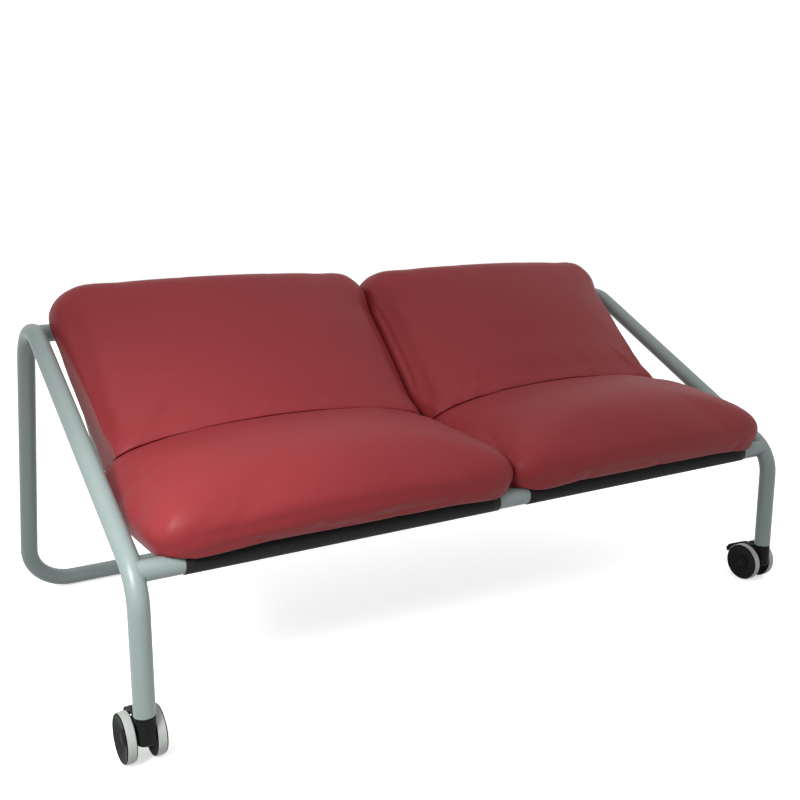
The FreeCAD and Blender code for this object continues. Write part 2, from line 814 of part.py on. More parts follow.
def caster_stem(side, sign):
    """Turn the steel stem, with a retaining groove and a chamfered tip."""
    body = new_body(f"{side}_caster_stem", f"{sign}size.side_x")
    shaft = "size.stem_radius"
    neck = "size.stem_radius - size.stem_groove"
    groove_top = "size.stem_top - 3 * size.stem_groove_width"
    groove_low = "size.stem_top - 4 * size.stem_groove_width"
    revolve(body, "profile", [
        ("0", "size.stem_low"), (shaft, "size.stem_low"), (shaft, groove_low),
        (neck, groove_low), (neck, groove_top), (shaft, groove_top),
        (shaft, "size.stem_top - size.stem_chamfer"),
        ("size.stem_radius - size.stem_chamfer", "size.stem_top"), ("0", "size.stem_top"),
    ], "Z_Axis")
    return body


def caster_housing(side, sign):
    """Mould the housing: a round column, flat beside the wheels, with a web slotted for the pedal."""
    body = new_body(f"{side}_caster_housing", f"{sign}size.side_x")
    top = "size.foot_height - size.socket_flange - size.swivel_gap"
    revolve(body, "column", [
        ("0", "size.column_low"), ("size.neck_radius - size.column_chamfer", "size.column_low"),
        ("size.neck_radius", "size.column_low + size.column_chamfer"),
        ("size.neck_radius", top), ("0", top),
    ], "Z_Axis")
    pad(body, outline(body, "web", "YZ_Plane", WEB_CORNERS), "2 * size.web_half")
    doc.recompute()
    for way, name in (("", "right"), ("-", "left")):
        clear = f"{way}(size.web_half + size.flank_reach)"
        flank = outline(body, f"{name}_flank", "XZ_Plane", [
            (f"{way}size.web_half", "size.column_low - size.flank_reach"),
            (clear, "size.column_low - size.flank_reach"),
            (clear, "size.neck_taper_low + 1.5 * size.flank_reach"),
            (f"{way}size.web_half", "size.neck_taper_low"),
        ])
        pocket_through(body, flank)
        doc.recompute()
    bores = circles(body, "bores", "YZ_Plane", [
        ("size.caster_trail", "size.wheel_radius", "size.axle_radius"),
        ("size.pedal_pivot_y", "size.pedal_pivot_height", "size.pedal_pin_radius"),
    ])
    doc.recompute()
    pocket_through(body, bores)
    slot = outline(body, "slot", "YZ_Plane", [
        ("size.pedal_slot_front", "size.pedal_slot_floor"),
        ("size.pedal_slot_rear", "size.pedal_slot_floor"),
        ("size.pedal_slot_rear", "size.foot_height"),
        ("size.pedal_slot_front", "size.foot_height"),
    ])
    pedal_slot = body.newObject("PartDesign::Pocket", f"{slot.Name}_cut")
    pedal_slot.Profile = slot
    pedal_slot.setExpression("Length", "2 * size.pedal_slot_half")
    pedal_slot.Midplane = True
    socket = circles(body, "socket", "XY_Plane", [("0", "0", "size.stem_radius")], "size.stem_low")
    doc.recompute()
    stem_hole = body.newObject("PartDesign::Pocket", f"{socket.Name}_cut")
    stem_hole.Profile = socket
    stem_hole.Type = "ThroughAll"
    stem_hole.Reversed = True
    return body


def cross_pin(label, sign, y, z, radius, half):
    """Make a plain steel pin across the caster, centred on its swivel axis."""
    body = new_body(label, f"{sign}size.side_x", y, z)
    pin = circles(body, "section", "YZ_Plane", [("0", "0", radius)])
    pad(body, pin, f"2 * {half}")
    return body


def wheel(side, sign, name, way):
    """Make one wheel: a dished hub, the tyre cast between its flanges and the centre cap."""
    at = (f"{sign}size.side_x", "size.caster_trail", "size.wheel_radius")
    bore = "size.axle_radius + size.running_gap"
    hub = new_body(f"{side}_{name}_hub", *at)
    revolve(hub, "profile", [
        (f"{way}size.hub_face", bore),
        (f"{way}size.hub_face", "size.hub_boss_radius"),
        (f"{way}size.hub_web_x", "size.hub_web_inner"),
        (f"{way}size.hub_web_x", "size.hub_web_outer"),
        (f"{way}size.hub_inner_x", "size.hub_rim_radius"),
        (f"{way}size.hub_inner_x", "size.hub_edge_radius"),
        (f"{way}size.tyre_inner_x", "size.hub_edge_radius"),
        (f"{way}size.tyre_inner_x", "size.hub_rim_radius"),
        (f"{way}size.tyre_outer_x", "size.hub_rim_radius"),
        (f"{way}size.tyre_outer_x", "size.hub_edge_radius"),
        (f"{way}(size.hub_outer_x - size.tyre_edge)", "size.hub_edge_radius"),
        (f"{way}size.hub_outer_x", "size.hub_edge_radius - size.tyre_edge"),
        (f"{way}(size.cap_seat_x + size.cap_lip)", "size.cap_radius"),
        (f"{way}size.cap_seat_x", "size.cap_radius"),
        (f"{way}size.cap_seat_x", bore),
    ], "X_Axis")
    tyre = new_body(f"{side}_{name}_tyre", *at)
    revolve(tyre, "profile", [
        (f"{way}size.tyre_inner_x", "size.hub_rim_radius"),
        (f"{way}size.tyre_inner_x", "size.wheel_radius - size.tyre_edge"),
        (f"{way}(size.tyre_inner_x + size.tyre_edge)", "size.wheel_radius"),
        (f"{way}(size.tyre_outer_x - size.tyre_edge)", "size.wheel_radius"),
        (f"{way}size.tyre_outer_x", "size.wheel_radius - size.tyre_edge"),
        (f"{way}size.tyre_outer_x", "size.hub_rim_radius"),
    ], "X_Axis")
    cap = new_body(f"{side}_{name}_cap", *at)
    revolve(cap, "profile", [
        (f"{way}size.cap_seat_x", "0"),
        (f"{way}size.cap_seat_x", "size.cap_radius"),
        (f"{way}(size.cap_seat_x + size.cap_lip)", "size.cap_radius"),
        (f"{way}(size.cap_seat_x + size.cap_shoulder)", "size.cap_shoulder_radius"),
        (f"{way}(size.cap_seat_x + size.cap_height)", "0"),
    ], "X_Axis")
    return [hub, tyre, cap]


def brake_pedal(side, sign):
    """Mould the foot pedal: a long lever over the web with a turned-down rear lip."""
    body = new_body(f"{side}_brake_pedal", f"{sign}size.side_x")
    pad(body, outline(body, "lever", "YZ_Plane", LEVER_CORNERS), "2 * size.pedal_half")
    barrel = circles(body, "barrel", "YZ_Plane", [
        ("size.pedal_pivot_y", "size.pedal_pivot_height", "size.pedal_barrel_radius"),
    ])
    pad(body, barrel, "2 * size.pedal_half")
    pivot = circles(body, "pivot", "YZ_Plane", [
        ("size.pedal_pivot_y", "size.pedal_pivot_height",
         "size.pedal_pin_radius + size.running_gap"),
    ])
    doc.recompute()
    pocket_through(body, pivot)
    return body


casters = []
for side, sign in SIDES:
    inward = "" if side == "left" else "-"
    outward = "-" if side == "left" else ""
    casters.append(leg_socket(side, sign))
    casters.append(caster_stem(side, sign))
    casters.append(caster_housing(side, sign))
    casters.append(cross_pin(
        f"{side}_caster_axle", sign, "size.caster_trail", "size.wheel_radius",
        "size.axle_radius", "size.axle_half",
    ))
    casters.append(cross_pin(
        f"{side}_pedal_pin", sign, "size.pedal_pivot_y", "size.pedal_pivot_height",
        "size.pedal_pin_radius", "size.web_half",
    ))
    casters.extend(wheel(side, sign, "inner_wheel", inward))
    casters.extend(wheel(side, sign, "outer_wheel", outward))
    casters.append(brake_pedal(side, sign))

# Check every object, then write one file per sub-part

doc.recompute()
for item in doc.Objects:
    if "Invalid" in item.State or "Error" in item.State:
        raise RuntimeError(f"{item.Label} failed: {item.State}")

sub_parts = [
    *side_tubes, hoop, front_rail, top_rail, *cradle_bars, *cradle_rails, *slings, *strips,
    *cushions, glides, *casters,
]
for item in sub_parts:
    if item.Shape.isNull() or not item.Shape.isValid():
        raise RuntimeError(f"{item.Label} has no valid shape")

os.makedirs("parts", exist_ok=True)
for item in sub_parts:
    item.Shape.exportStep(f"parts/{item.Label}.step")
    print(f"{item.Label}: {len(item.Shape.Solids)} solid, {item.Shape.Volume / 1000:.1f} cm3")
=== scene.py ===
"""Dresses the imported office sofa: smooth bent tube, stretched slings, leather cushions and twin-wheel casters.

All places are metres in the shared frame: +X runs along the seat, the sofa faces -Y and stands on z = 0.
"""

import logging
import math
from collections.abc import Sequence
from dataclasses import dataclass
from enum import Enum

import bmesh
import bpy
import numpy as np
from mathutils import Matrix, Vector, noise
from mathutils.bvhtree import BVHTree


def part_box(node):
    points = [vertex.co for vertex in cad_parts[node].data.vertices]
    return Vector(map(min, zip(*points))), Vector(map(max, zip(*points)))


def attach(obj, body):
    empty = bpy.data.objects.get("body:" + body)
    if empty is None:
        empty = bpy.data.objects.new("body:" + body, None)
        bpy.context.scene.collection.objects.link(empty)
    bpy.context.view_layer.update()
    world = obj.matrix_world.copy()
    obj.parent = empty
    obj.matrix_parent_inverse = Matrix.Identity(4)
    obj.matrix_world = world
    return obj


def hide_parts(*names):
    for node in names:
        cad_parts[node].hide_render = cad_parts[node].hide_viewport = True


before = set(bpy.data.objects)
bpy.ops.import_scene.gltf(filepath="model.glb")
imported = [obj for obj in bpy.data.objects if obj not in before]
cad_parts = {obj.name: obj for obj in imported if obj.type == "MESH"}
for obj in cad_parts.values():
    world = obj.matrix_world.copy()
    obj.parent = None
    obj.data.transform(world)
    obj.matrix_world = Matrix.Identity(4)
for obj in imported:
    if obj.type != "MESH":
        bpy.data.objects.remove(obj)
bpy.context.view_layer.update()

FRAME_BODY = "frame"
SHARP_ANGLE = math.radians(38)
WELD = 1e-5
FINE_WELD = 1e-6
log = logging.getLogger("office_sofa")


class Slot(Enum):
    """The record's material slots."""

    FRAME_PAINT = "frame_paint"
    RED_LEATHER = "red_leather"
    BLACK_CLOTH = "black_cloth"
    BLACK_PLASTIC = "black_plastic"
    GREY_TYRE = "grey_tyre"
    STEEL = "steel"


class Side(Enum):
    """The two halves of the sofa, with the sign of their x."""

    LEFT = -1
    RIGHT = 1

    @property
    def word(self) -> str:
        """The side as it is written in node names."""
        return self.name.lower()


class CushionKind(Enum):
    """What a cushion is for, as written in node names."""

    SEAT = "seat"
    BACK = "back"


def linear(colour: str) -> tuple[float, float, float, float]:
    """Turns an sRGB hex colour into the linear colour that a shader socket takes.

    Args:
        colour: Six hex digits after a hash.

    Returns:
        Red, green, blue and an alpha of one.
    """
    channels = [int(colour[place : place + 2], 16) / 255 for place in (1, 3, 5)]
    curve = [c / 12.92 if c <= 0.04045 else ((c + 0.055) / 1.055) ** 2.4 for c in channels]
    return (*curve, 1.0)


def per_metre(size_mm: float) -> float:
    """Gives the texture scale at which one feature has a real size.

    Args:
        size_mm: Size of one pebble, thread or ripple in millimetres.

    Returns:
        Features in a metre.
    """
    return 1000 / size_mm


def add_node(
    tree: bpy.types.NodeTree, kind: str, inputs: dict[str | int, object] | None = None, **options: object
) -> bpy.types.Node:
    """Adds one node to a tree.

    Args:
        tree: The material's or the world's tree.
        kind: The node's type name.
        inputs: Sockets with the value or the output that each takes.
        options: The node's own properties.

    Returns:
        The new node.
    """
    node = tree.nodes.new(kind)
    for name, value in options.items():
        setattr(node, name, value)
    for socket, value in (inputs or {}).items():
        if isinstance(value, bpy.types.NodeSocket):
            tree.links.new(value, node.inputs[socket])
        else:
            node.inputs[socket].default_value = value
    return node


class Graph:
    """A finish's node tree round its one shader."""

    def __init__(self, slot: Slot, **sockets: float) -> None:
        """Starts a material.

        Args:
            slot: The record's slot, which names the material.
            sockets: Constant values of the shader, with _ for a space in the socket's name.
        """
        self.material = bpy.data.materials.new(slot.value)
        self.material.use_nodes = True
        self.tree = self.material.node_tree
        self.shader = self.tree.nodes["Principled BSDF"]
        for name, value in sockets.items():
            self.shader.inputs[name.replace("_", " ")].default_value = value
        coordinates = add_node(self.tree, "ShaderNodeTexCoord")
        self.place = coordinates.outputs["Object"]
        self.laid_flat = coordinates.outputs["UV"]

    def add(self, kind: str, inputs: dict[str | int, object], **options: object) -> bpy.types.Node:
        """Adds one node to this finish; see add_node."""
        return add_node(self.tree, kind, inputs, **options)

    def ramp(self, share: bpy.types.NodeSocket, low: str, high: str) -> None:
        """Colours the shader between two shades of one material.

        Args:
            share: Where between them, from nothing to one.
            low: Hex colour at nothing.
            high: Hex colour at one.
        """
        tint = self.add("ShaderNodeValToRGB", {"Fac": share})
        for element, colour in zip(tint.color_ramp.elements, (low, high)):
            element.color = linear(colour)
        self.feed("Base Color", tint.outputs["Color"])

    def gloss(self, share: bpy.types.NodeSocket, low: float, high: float) -> None:
        """Varies the shader's roughness.

        Args:
            share: Where between the two, from nothing to one.
            low: Roughness at nothing.
            high: Roughness at one.
        """
        spread = self.add("ShaderNodeMapRange", {"Value": share, "To Min": low, "To Max": high})
        self.feed("Roughness", spread.outputs["Result"])

    def clouds(
        self, size_mm: float, colours: tuple[str, str], gloss: tuple[float, float], detail: float = 2.0
    ) -> bpy.types.NodeSocket:
        """Drifts colour and roughness together in soft clouds.

        Args:
            size_mm: Size of one cloud in millimetres.
            colours: Hex colours at nothing and at one.
            gloss: Roughness at nothing and at one.
            detail: How many rounds of finer clouds lie in it.

        Returns:
            The clouds, from nothing to one.
        """
        inputs = {"Vector": self.place, "Scale": per_metre(size_mm), "Detail": detail}
        share = self.add("ShaderNodeTexNoise", inputs).outputs["Fac"]
        self.ramp(share, *colours)
        self.gloss(share, *gloss)
        return share

    def relief(self, height: bpy.types.NodeSocket, depth: float, strength: float, **options: object) -> None:
        """Raises the surface a little.

        Args:
            height: The pattern.
            depth: Its height in metres.
            strength: Share of the slope that is shown.
            options: The bump node's own properties.
        """
        bump = self.add("ShaderNodeBump", {"Height": height, "Strength": strength, "Distance": depth}, **options)
        self.feed("Normal", bump.outputs["Normal"])

    def feed(self, socket: str, output: bpy.types.NodeSocket) -> None:
        """Links an output to the shader's socket of that name."""
        self.tree.links.new(output, self.shader.inputs[socket])


@dataclass(frozen=True)
class PowderCoat:
    """Polyester powder coat, sprayed dry on steel tube and baked.

    The eye gets a satin highlight with a slightly broken edge, and a paint that is a shade uneven along the tube.
    """

    colours: tuple[str, str] = ("#7a8785", "#828f8d")
    gloss: tuple[float, float] = (0.34, 0.46)
    specular: float = 0.5
    cloud_mm: float = 90.0
    peel_mm: float = 2.0
    peel_depth: float = 0.00006
    peel_strength: float = 0.5

    def material(self) -> bpy.types.Material:
        """Builds the paint.

        Returns:
            The finished material.
        """
        graph = Graph(Slot.FRAME_PAINT, Specular_IOR_Level=self.specular)
        graph.clouds(self.cloud_mm, self.colours, self.gloss)
        # Orange peel is waves of one to two millimetres, drawn at the coarse end so that it survives the render.
        peel = graph.add("ShaderNodeTexNoise", {"Vector": graph.place, "Scale": per_metre(self.peel_mm)})
        graph.relief(peel.outputs["Fac"], self.peel_depth, self.peel_strength)
        return graph.material


@dataclass(frozen=True)
class CoatedLeather:
    """Coated split leather, embossed with a fine pebble grain and wiped with a satin top coat.

    The eye gets an even deep red, broad soft highlights, and grain only where light grazes it.
    """

    colours: tuple[str, str] = ("#792427", "#82282c")
    gloss: tuple[float, float] = (0.48, 0.6)
    specular: float = 0.22
    cloud_mm: float = 140.0
    pebble_mm: float = 2.2
    pebble_depth: float = 0.00018
    pebble_strength: float = 0.45

    def material(self) -> bpy.types.Material:
        """Builds the leather.

        Returns:
            The finished material.
        """
        graph = Graph(Slot.RED_LEATHER, Specular_IOR_Level=self.specular)
        graph.clouds(self.cloud_mm, self.colours, self.gloss, detail=4.0)
        # Real pebbles are about a millimetre across, and are drawn at twice that to be seen at all.
        pebble = graph.add(
            "ShaderNodeTexVoronoi",
            {"Vector": graph.place, "Scale": per_metre(self.pebble_mm), "Smoothness": 0.6},
            feature="SMOOTH_F1",
        )
        graph.relief(pebble.outputs["Distance"], self.pebble_depth, self.pebble_strength, invert=True)
        return graph.material


@dataclass(frozen=True)
class WovenCloth:
    """Black polyester furnishing cloth in plain weave, piece-dyed.

    The eye gets a dull black with a faint square texture and a little fuzz at grazing angles.
    """

    colour: str = "#191718"
    gap_colour: str = "#0c0b0b"
    thread_mm: float = 2.4
    thread_depth: float = 0.0003

    def material(self) -> bpy.types.Material:
        """Builds the cloth.

        Returns:
            The finished material.
        """
        graph = Graph(Slot.BLACK_CLOTH, Roughness=0.82, Specular_IOR_Level=0.2, Sheen_Weight=0.08)
        # Threads of 0.6 mm are drawn four times as coarse, or the weave would be lost. A wave turns by 20 in a unit.
        scale = per_metre(self.thread_mm) * math.tau / 20
        warp, weft = (
            graph.add("ShaderNodeTexWave", {"Vector": graph.laid_flat, "Scale": scale}, bands_direction=way)
            for way in ("X", "Y")
        )
        weave = graph.add(
            "ShaderNodeMath", {0: warp.outputs["Fac"], 1: weft.outputs["Fac"]}, operation="MULTIPLY"
        )
        graph.ramp(weave.outputs["Value"], self.gap_colour, self.colour)
        graph.relief(weave.outputs["Value"], self.thread_depth, 0.5)
        return graph.material


@dataclass(frozen=True)
class MouldedPlastic:
    """Black nylon, injection moulded in a spark-eroded tool.

    The eye gets a dense black with a soft grey highlight that a fine sandy texture spreads.
    """

    colours: tuple[str, str] = ("#0c0c0d", "#131415")
    gloss: tuple[float, float] = (0.60, 0.72)
    specular: float = 0.12
    grain_mm: float = 0.9
    grain_depth: float = 0.00006
    grain_strength: float = 0.4

    def material(self) -> bpy.types.Material:
        """Builds the plastic.

        Returns:
            The finished material.
        """
        graph = Graph(Slot.BLACK_PLASTIC, Specular_IOR_Level=self.specular)
        # Spark texture is about 0.3 mm, drawn three times as coarse.
        grain = graph.clouds(self.grain_mm, self.colours, self.gloss, detail=3.0)
        graph.relief(grain, self.grain_depth, self.grain_strength)
        return graph.material


@dataclass(frozen=True)
class CastTyre:
    """Grey polyurethane, cast round the wheel's rim.

    The eye gets a pale, slightly waxy grey with faint darker scuffs from the floor.
    """

    colours: tuple[str, str] = ("#a4a8a3", "#b0b4af")
    gloss: tuple[float, float] = (0.64, 0.46)
    specular: float = 0.35
    scuff_mm: float = 9.0
    scuff_depth: float = 0.00005
    scuff_strength: float = 0.3

    def material(self) -> bpy.types.Material:
        """Builds the polyurethane.

        Returns:
            The finished material.
        """
        graph = Graph(Slot.GREY_TYRE, Specular_IOR_Level=self.specular)
        scuff = graph.clouds(self.scuff_mm, self.colours, self.gloss, detail=6.0)
        graph.relief(scuff, self.scuff_depth, self.scuff_strength)
        return graph.material


@dataclass(frozen=True)
class ZincSteel:
    """Turned steel, barrel plated with clear zinc.

    The eye gets a cool bright metal with a faint turned streak.
    """

    colours: tuple[str, str] = ("#a3a9ae", "#c3c8cc")
    gloss: tuple[float, float] = (0.24, 0.38)
    streak_mm: float = 1.6

    def material(self) -> bpy.types.Material:
        """Builds the metal.

        Returns:
            The finished material.
        """
        graph = Graph(Slot.STEEL, Metallic=1.0)
        graph.clouds(self.streak_mm, self.colours, self.gloss)
        return graph.material


class Finishes:
    """One material for each slot of the record."""

    def __init__(self) -> None:
        """Builds every material once."""
        self.materials = {
            Slot.FRAME_PAINT: PowderCoat().material(),
            Slot.RED_LEATHER: CoatedLeather().material(),
            Slot.BLACK_CLOTH: WovenCloth().material(),
            Slot.BLACK_PLASTIC: MouldedPlastic().material(),
            Slot.GREY_TYRE: CastTyre().material(),
            Slot.STEEL: ZincSteel().material(),
        }

    def dress(self, piece: bpy.types.Object, slot: Slot) -> None:
        """Gives a piece its finish and says which slot it came from.

        Args:
            piece: A new piece or a carried-over node.
            slot: The record's slot.
        """
        piece.data.materials.clear()
        piece.data.materials.append(self.materials[slot])


def new_piece(name: str, form: bmesh.types.BMesh, body: str) -> bpy.types.Object:
    """Makes a finished form into a piece that rides on a body.

    Args:
        name: The piece's name.
        form: Its shape, which is freed.
        body: The body it moves with.

    Returns:
        The new object, at the origin.
    """
    bmesh.ops.recalc_face_normals(form, faces=form.faces[:])
    mesh = bpy.data.meshes.new(name)
    form.to_mesh(mesh)
    form.free()
    mesh.shade_smooth()
    mesh.set_sharp_from_angle(angle=SHARP_ANGLE)
    piece = bpy.data.objects.new(name, mesh)
    bpy.context.scene.collection.objects.link(piece)
    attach(piece, body)
    log.info("%s: %d faces on %s", name, len(mesh.polygons), body)
    return piece


def middle_of(node: str) -> Vector:
    """Gives the middle of a node's box at rest."""
    low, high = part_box(node)
    return (low + high) / 2


def rows_of(parts: bpy.types.bpy_prop_collection, name: str) -> np.ndarray:
    """Reads a place or a direction from each point of a mesh.

    Args:
        parts: The mesh's points, or their normals.
        name: The property to read.

    Returns:
        One row of x, y and z for each point.
    """
    rows = np.empty(len(parts) * 3)
    parts.foreach_get(name, rows)
    return rows.reshape(-1, 3)


Row = list[bmesh.types.BMEdge]


def points_of(row: Row) -> list[bmesh.types.BMVert]:
    """Lists a row's points once each, in the order of its edges."""
    return list(dict.fromkeys(point for edge in row for point in edge.verts))


def carry_straight(form: bmesh.types.BMesh, row: Row, step: Vector, pieces: int = 1) -> Row:
    """Extrudes an open or closed row of edges along a straight run.

    Args:
        form: The mesh that holds the row.
        row: The edges to carry on.
        step: The whole run.
        pieces: How many lengths the run is cut into.

    Returns:
        The row's edges at the far end.
    """
    for _ in range(pieces):
        made = bmesh.ops.extrude_edge_only(form, edges=row)["geom"]
        points = {part for part in made if isinstance(part, bmesh.types.BMVert)}
        row = [part for part in made if isinstance(part, bmesh.types.BMEdge) and set(part.verts) <= points]
        bmesh.ops.translate(form, verts=list(points), vec=step / pieces)
    return row


def carry_round(
    form: bmesh.types.BMesh, row: Row, centre: Vector, axis: Vector, angle: float, steps: int
) -> Row:
    """Spins a row of edges round a bend.

    Args:
        form: The mesh that holds the row.
        row: The edges to carry on.
        centre: A point on the bend's axis.
        axis: The bend's axis.
        angle: How far to turn, right-handed about the axis.
        steps: Lengths in the bend.

    Returns:
        The row's edges at the far end.
    """
    made = bmesh.ops.spin(
        form, geom=row + points_of(row), cent=centre, axis=axis, dvec=(0, 0, 0), angle=angle, steps=steps
    )
    return [part for part in made["geom_last"] if isinstance(part, bmesh.types.BMEdge)]


@dataclass
class BentTube:
    """A round tube along corners, with an arc at each inner corner and an open bore at both ends."""

    radius: float
    wall: float
    segments: int = 48
    bend_steps: int = 22
    bore_depth: float = 0.012

    def build(self, name: str, corners: Sequence[Vector], bends: Sequence[float]) -> bpy.types.Object:
        """Draws the tube through its bends.

        Args:
            name: The piece's name.
            corners: The two ends and the sharp corners between them, in order.
            bends: The centre-line radius at each inner corner.

        Returns:
            The tube, riding on the frame.
        """
        form = bmesh.new()
        self._open_bore(form, corners[0], corners[1] - corners[0])
        row = self._outer_rim(form, corners[0], corners[1] - corners[0])
        at = corners[0]
        for before, corner, after, bend in zip(corners, corners[1:], corners[2:], bends):
            heading, leaving = (corner - before).normalized(), (after - corner).normalized()
            turn = heading.angle(leaving)
            setback = bend * math.tan(turn / 2)
            axis = heading.cross(leaving).normalized()
            row = carry_straight(form, row, corner - heading * setback - at)
            centre = corner - heading * setback + axis.cross(heading) * bend
            row = carry_round(form, row, centre, axis, turn, self.bend_steps)
            at = corner + leaving * setback
        carry_straight(form, row, corners[-1] - at)
        self._open_bore(form, corners[-1], corners[-2] - corners[-1])
        bmesh.ops.remove_doubles(form, verts=form.verts[:], dist=WELD)
        return new_piece(name, form, FRAME_BODY)

    def _outer_rim(self, form: bmesh.types.BMesh, end: Vector, inward: Vector) -> Row:
        """Draws the circle that the tube starts from.

        Args:
            form: The tube's mesh.
            end: The end's centre.
            inward: Direction into the tube.

        Returns:
            The circle's edges.
        """
        facing = Matrix.Translation(end) @ inward.to_track_quat("Z", "Y").to_matrix().to_4x4()
        points = bmesh.ops.create_circle(form, segments=self.segments, radius=self.radius, matrix=facing)["verts"]
        return list(dict.fromkeys(edge for point in points for edge in point.link_edges))

    def _open_bore(self, form: bmesh.types.BMesh, end: Vector, inward: Vector) -> None:
        """Adds the cut end's rim and the first stretch of the bore.

        Args:
            form: The tube's mesh.
            end: The end's centre.
            inward: Direction into the tube.
        """
        row = self._outer_rim(form, end, inward)
        row = carry_straight(form, row, Vector())
        shrink = (self.radius - self.wall) / self.radius
        bmesh.ops.scale(form, verts=points_of(row), vec=(shrink,) * 3, space=Matrix.Translation(-end))
        carry_straight(form, row, inward.normalized() * self.bore_depth)


@dataclass
class TubeFrame:
    """The welded frame: two side tubes, the rear hoop, two rails and the cradle inside."""

    finishes: Finishes
    tube_radius: float = 0.016
    tube_wall: float = 0.002
    side_x: float = 0.665
    leg_y: float = -0.378
    foot_z: float = 0.080
    knee_z: float = 0.280
    knee_bend: float = 0.078
    top_depth: float = 0.594
    top_z: float = 0.602
    top_bend: float = 0.082
    rear_depth: float = 0.754
    rear_z: float = 0.018
    rear_bend: float = 0.085
    hoop_leg: float = 0.270
    bar_radius: float = 0.008
    bar_wall: float = 0.0015
    bar_bend: float = 0.040
    bar_corner_depth: float = 0.318
    bar_inset: float = 0.012

    def build(self) -> None:
        """Makes every tube and rail of the frame."""
        self._outer_tubes()
        self._cradle()

    def _outer_tubes(self) -> None:
        """Bends the sides and the hoop, and draws the rails between them."""
        tube = BentTube(self.tube_radius, self.tube_wall)
        foot = Vector((0, self.leg_y, self.foot_z))
        knee = Vector((0, self.leg_y, self.knee_z))
        top = Vector((0, self.leg_y + self.top_depth, self.top_z))
        rear = Vector((0, self.leg_y + self.rear_depth, self.rear_z))
        seam = rear + (top - rear).normalized() * self.hoop_leg
        for side in Side:
            out = Vector((side.value * self.side_x, 0, 0))
            name = f"{side.word}_side_tube"
            piece = tube.build(
                f"{name}_bent", [out + place for place in (foot, knee, top, seam)], [self.knee_bend, self.top_bend]
            )
            self._finish(piece, name)
        left, right = Vector((-self.side_x, 0, 0)), Vector((self.side_x, 0, 0))
        hoop = tube.build(
            "rear_hoop_bent", [left + seam, left + rear, right + rear, right + seam], [self.rear_bend] * 2
        )
        self._finish(hoop, "rear_hoop")
        for name in ("front_rail", "top_rail"):
            self._straight(tube, name)

    def _cradle(self) -> None:
        """Bends the slim bars under the cushions, and draws the cross rails between them."""
        slim = BentTube(self.bar_radius, self.bar_wall, segments=32, bend_steps=12)
        for name in ("left_cradle_bar", "centre_cradle_bar", "right_cradle_bar"):
            low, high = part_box(name)
            x = (low.x + high.x) / 2
            front = Vector((x, low.y, low.z + self.bar_radius))
            corner = Vector((x, self.leg_y + self.bar_corner_depth, front.z))
            _, rail_y, rail_z = middle_of("top_rail")
            top = Vector((x, rail_y, rail_z))
            top += (corner - top).normalized() * self.bar_inset
            self._finish(slim.build(f"{name}_bent", [front, corner, top], [self.bar_bend]), name)
        for side in Side:
            self._straight(slim, f"{side.word}_cradle_rail")

    def _straight(self, tube: BentTube, name: str) -> None:
        """Replaces a straight rail by a smooth one of the same length.

        Args:
            tube: The tube it is cut from.
            name: The rail's node.
        """
        low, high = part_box(name)
        middle = middle_of(name)
        ends = [Vector((x, middle.y, middle.z)) for x in (low.x, high.x)]
        self._finish(tube.build(f"{name}_drawn", ends, []), name)

    def _finish(self, piece: bpy.types.Object, node: str) -> None:
        """Paints a smooth tube and puts it in its node's place."""
        self.finishes.dress(piece, Slot.FRAME_PAINT)
        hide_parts(node)


